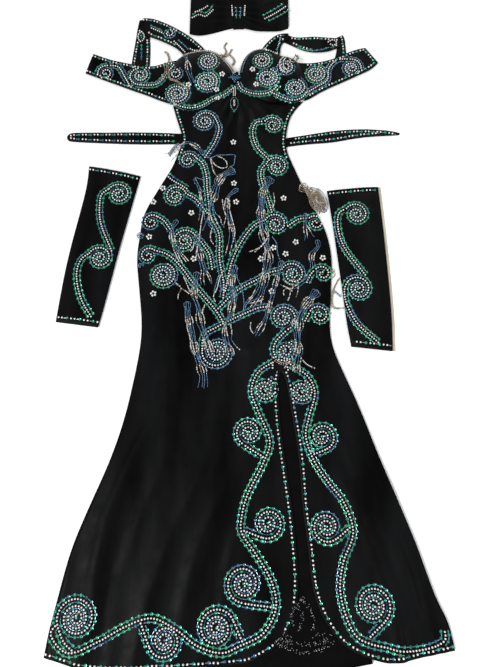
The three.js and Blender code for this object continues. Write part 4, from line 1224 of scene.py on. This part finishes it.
# Bead strings that lie loose, as floor points seen from the camera
LOOSE = [
    ("tan", [118, 562, 130, 564, 143, 560, 153, 548, 160, 534, 163, 520, 158, 507]),
    ("tan", [119, 557, 131, 559, 142, 555, 150, 542, 156, 530, 158, 517, 152, 506]),
    ("tan", [121, 551, 131, 553, 139, 547, 146, 534, 151, 522, 149, 508]),
    ("tan", [123, 544, 131, 546, 137, 540, 143, 527, 146, 515]),
    ("tan", [126, 536, 132, 538, 137, 530, 141, 516]),
    ("slate", [146, 562, 157, 551, 164, 537, 167, 521, 164, 508, 153, 501]),
    ("tan", [165, 366, 173, 372, 176, 360, 170, 352]),
    ("tan", [183, 352, 172, 329, 167, 306, 170, 289, 186, 286]),
    ("slate", [171, 326, 180, 318, 187, 311]),
    ("pearl", [92, 211, 100, 188, 113, 172, 131, 163]),
    ("pearl", [102, 344, 92, 346, 80, 352]),
    ("pearl", [98, 339, 88, 333, 86, 322]),
    ("pearl", [100, 338, 98, 322, 94, 310]),
    ("pearl", [35, 440, 22, 424, 4, 414, -4, 412]),
    ("pearl", [38, 446, 27, 428, 8, 410]),
    ("slate", [-97, 640, -88, 636, -73, 643, -53, 644, -33, 643, -34, 631, -36, 619, -47, 613]),
    ("pearl", [-88, 636, -76, 618, -61, 611, -51, 614, -52, 626, -61, 636, -73, 641]),
    ("pearl", [-88, 636, -84, 618, -79, 600, -70, 588]),
    ("tan", [-203, 921, -196, 914, -191, 899, -192, 883, -191, 860, -185, 841, -170, 835, -153, 824,
        -139, 811]),
    ("slate", [-224, 450, -233, 455, -240, 451, -236, 443, -226, 445]),
    ("slate", [-221, 383, -230, 386, -236, 380, -228, 377]),
    ("pearl", [80, 905, 70, 893, 73, 873, 86, 858]),
    ("pearl", [87, 905, 78, 892, 81, 876, 92, 864]),
    ("tan", [91, 900, 101, 897, 110, 905, 113, 913]),
    ("tan", [92, 894, 103, 889, 113, 897, 112, 910]),
    ("tan", [-66, 905, -57, 921, -62, 935, -55, 949]),
    ("tan", [-76, 912, -66, 907, -52, 913, -43, 930]),
    ("tan", [-55, 914, -45, 907, -38, 894, -42, 882]),
    ("slate", [-120, 587, -110, 564, -102, 550]),
    ("slate", [-120, 588, -106, 583, -99, 579]),
    ("pearl", [-99, 510, -104, 481, -107, 450, -111, 422, -112, 398]),
    ("pearl", [-81, 467, -84, 447, -81, 435, -75, 428]),
    ("slate", [-90, 492, -96, 475, -102, 458]),
    ("pearl", [-60, 535, -57, 513, -52, 494, -56, 472]),
    ("pearl", [-47, 535, -44, 510, -36, 478, -32, 459, -36, 432]),
    ("slate", [30, 551, 26, 522, 27, 497]),
    ("pearl", [51, 551, 53, 529, 47, 510]),
    ("slate", [47, 447, 56, 432, 58, 410, 63, 392]),
    ("pearl", [-161, 441, -163, 425, -156, 407, -148, 389]),
    ("pearl", [-118, 432, -121, 419, -126, 413]),
    ("pearl", [-153, 343, -142, 331, -147, 319, -148, 306]),
    ("pearl", [-142, 331, -132, 325, -123, 317]),
    ("slate", [-157, 363, -153, 340, -145, 335]),
    ("pearl", [-138, 357, -129, 337, -122, 319]),
    ("pearl", [-55, 372, -63, 353, -68, 331, -75, 313, -70, 300]),
    ("slate", [-66, 357, -72, 334, -75, 316]),
    ("slate", [-27, 378, -27, 357, -17, 331, -13, 308, -13, 285, -21, 265]),
    ("pearl", [-38, 346, -33, 319, -32, 293, -34, 265]),
    ("pearl", [-43, 214, -34, 203, -32, 191, -36, 190]),
    ("pearl", [-96, 290, -97, 276, -92, 299]),
    ("slate", [20, 311, 7, 306, -6, 299, -11, 287]),
    ("pearl", [29, 308, 9, 300, -4, 299]),
    ("pearl", [2, 259, 1, 245, 8, 233]),
    ("pearl", [70, 316, 69, 325, 76, 331, 83, 328, 81, 313, 77, 303]),
    ("pearl", [-127, 265, -127, 248, -121, 228, -117, 203, -109, 190]),
    ("slate", [-132, 293, -132, 276, -130, 265]),
    ("tan", coil(144, 531, 17, 28, 5)),
    ("tan", [-64, 904, -55, 920, -60, 935, -52, 949]),
    ("tan", [-74, 910, -65, 904, -51, 911, -41, 929]),
    ("tan", [-53, 915, -43, 909, -35, 893, -40, 881]),
    ("tan", [-201, 923, -193, 915, -189, 900, -190, 884, -189, 862, -183, 843, -168, 837, -151, 826,
        -137, 813]),
    ("slate", [-225, 448, -232, 452, -236, 449, -230, 446]),
    ("slate", [-222, 381, -230, 383, -233, 380, -226, 378]),
    ("tan", [185, 354, 174, 330, 169, 307, 172, 291, 194, 288]),
    ("slate", [172, 328, 181, 320, 189, 312]),
    ("slate", [-156, 672, -166, 666, -174, 655, -181, 642]),
    ("slate", [-158, 674, -168, 668, -176, 657, -183, 644]),
    ("tan", [-154, 670, -164, 664, -172, 653, -179, 640]),
]
# A loose string's height over the cloth, and the share of its beads that have another colour
LOOSE_LIFT, LOOSE_MIX = 1.2, 0.3


def loose_string(look, path):
    """A string of small beads that follows the cloth below it."""
    line = []
    for x, y in spline(path, step=1.5):
        found = seat(x, y, from_camera=True)
        line.append((x, y, 0.0) if found is None else found[0])
    line = np.array(line)
    line[:, 2] = window(window(line[:, 2], 2, np.max), 2, np.mean) + LOOSE_LIFT
    other = "tan" if look == "pearl" else look
    parts = []
    for here in np.arange(0, lengths(line)[-1] - BEAD_PITCH, BEAD_PITCH):
        hang_on(parts, line, here, "chain_bead", other if chance.random() < LOOSE_MIX else look, BEAD_PITCH)
    return parts


# The folded lining edge: how far out it lies, and its section across and up
LINING_INSET = -3.2
FOLDED_HEM = [(-2.6, 0.1), (2.2, 0.1), (2.6, 0.45), (2.6, 0.95), (2.2, 1.3), (-2.6, 1.3),
              (-2.6, 0.85), (1.9, 0.85), (1.9, 0.55), (-2.6, 0.55)]


def lining_edge():
    """The narrow pale edge of the lining that shows along the right gauntlet's outer side."""
    line = edge_line("gauntlet_right_front", LINING_INSET, [278, 560, 285, 203, 287, 380])
    points = []
    for at, side in zip(line, leftward(line)):
        points += [(*(at + across * side), up) for across, up in FOLDED_HEM]
    count = len(FOLDED_HEM)
    faces = [tuple(range(count))[::-1], tuple(range(len(points) - count, len(points)))]
    for r in range(0, len(points) - count, count):
        for k in range(count):
            a, b = r + k, r + (k + 1) % count
            faces.append((a, b, b + count, a + count))
    mesh = bpy.data.meshes.new("gauntlet_right_lining_edge")
    mesh.from_pydata(row_points(points).tolist(), [], faces)
    mesh.materials.append(lining_cloth)
    piece = shown("gauntlet_right_lining_edge", mesh)
    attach(piece, "root")


# Putting it together

cloth = {}
for node, (_, _, relief, levels) in CLOTH.items():
    cloth[node] = lay_cloth(node, relief, levels, SHEET_UP, SHEET_WALL)
for node in CUPS:
    cloth[node] = lay_cloth(node, flat_relief, 2, CUP_UP, CUP_WALL)
cloth["headband_wrap"] = lay_wrap()
for node, piece in cloth.items():
    piece.data.materials.clear()
    piece.data.materials.append(mesh_cloth if node in LINED else jersey)
    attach(piece, "root")
    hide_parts(node)
ground = BVHTree.FromPolygons(ground_points, ground_faces)

bow(-36, 850)
drop(-36, 822)
for x, y in ROSETTES:
    rosette(x, y)
for group, rows in ROWS.items():
    for kind, path in rows:
        single_row(group, kind, spline(path))
for node, kind, inset, places in EDGE_ROWS:
    single_row("bodice_beads", kind, edge_line(node, inset, places), from_camera=False)
for group, inset, bordered in BORDERS:
    for node, places in bordered:
        border(group, edge_line(node, inset, places))
        seam = edge_line(node, STITCH_INSET, places)
        put_row("stitches", "thread", "stitch", seam, STITCH_PITCH, from_camera=False)
all_work = {"skirt_beads": SKIRT, "body_beads": BODY, "bodice_beads": BODICE, "gauntlet_beads": GAUNTLET}
work = [
    (group, *(stem(row) if isinstance(row, list) else scroll(*row)))
    for group, rows in all_work.items() for row in rows
]
for group, rows, _ in work:
    for line in rows["pearls"]:
        pearl_row(group, line)
for group, rows, palette in work:
    for line in rows["outer"]:
        sequin_row(group, line, palette)
for group, rows, palette in work:
    for line in rows["inner"]:
        inner_row(group, line, palette)
    for at in rows["centre"]:
        put(group, next(runs(palette)), "sequin", at, size=INNER_SIZE)

for name, row in FRINGES.items():
    hang_fringe(name, *row)
loose = [part for look, path in LOOSE for part in loose_string(look, path)]
bead_piece("loose_strings", loose)
lining_edge()
for group in sorted(beads):
    bead_piece(group, [placed(*row) for row in beads[group]])

# Floor, light and camera

FLOOR_LOW = -0.0004
floor_mesh = bpy.data.meshes.new("floor")
plate = bmesh.new()
bmesh.ops.create_grid(plate, x_segments=8, y_segments=8, size=4)
plate.to_mesh(floor_mesh)
plate.free()
floor = shown("floor", floor_mesh)
floor.location = (0, 0, FLOOR_LOW)
floor_mesh.materials.append(procedural_material(
    "pale_floor", [(0.3, (0.86, 0.86, 0.86)), (0.7, (0.90, 0.90, 0.90))],
    (3, 3, EVEN), (0.75, 0.9, 20), [(60, 2, EVEN, 0.05, 1.0)], {"Specular IOR Level": 0.2},
))


def softbox(name, at, aim, size, power):
    data = bpy.data.lights.new(name, "AREA")
    data.shape = "RECTANGLE"
    data.size, data.size_y = size
    data.energy = power
    lamp = shown(name, data)
    lamp.location = at
    lamp.rotation_euler = (Vector(aim) - Vector(at)).to_track_quat("-Z", "Y").to_euler()


softbox("key_light", (-1.75, -1.45, 2.3), (0, 0.1, 0), (1.6, 1.2), 120)
softbox("fill_light", (2.1, -1.2, 2.4), (0, 0.2, 0), (2.0, 1.6), 30)
softbox("top_light", (1.7, 2.6, 2.6), (0, 0.4, 0), (2.0, 1.0), 50)
world = bpy.data.worlds.new("studio")
world.use_nodes = True
world.node_tree.nodes["Background"].inputs["Color"].default_value = (0.95, 0.97, 1.0, 1)
world.node_tree.nodes["Background"].inputs["Strength"].default_value = 0.34
bpy.context.scene.world = world
bpy.context.scene.view_settings.view_transform = "Standard"

camera_data = bpy.data.cameras.new("camera")
camera_data.lens = LENS
camera_data.sensor_width = SENSOR
camera = shown("camera", camera_data)
camera.location = EYE
camera.rotation_euler = (math.radians(CAMERA_TILT), 0, 0)
bpy.context.scene.camera = camera

# The soft pieces and the areas of their flat cuts, looked up and worked out but not kept

for node, (flat, share, _, _) in CLOTH.items():
    cloth[node]
    round(flat[0] * flat[1] * share, 5)
cloth["headband_wrap"]
for node in CUPS:
    cloth[node]
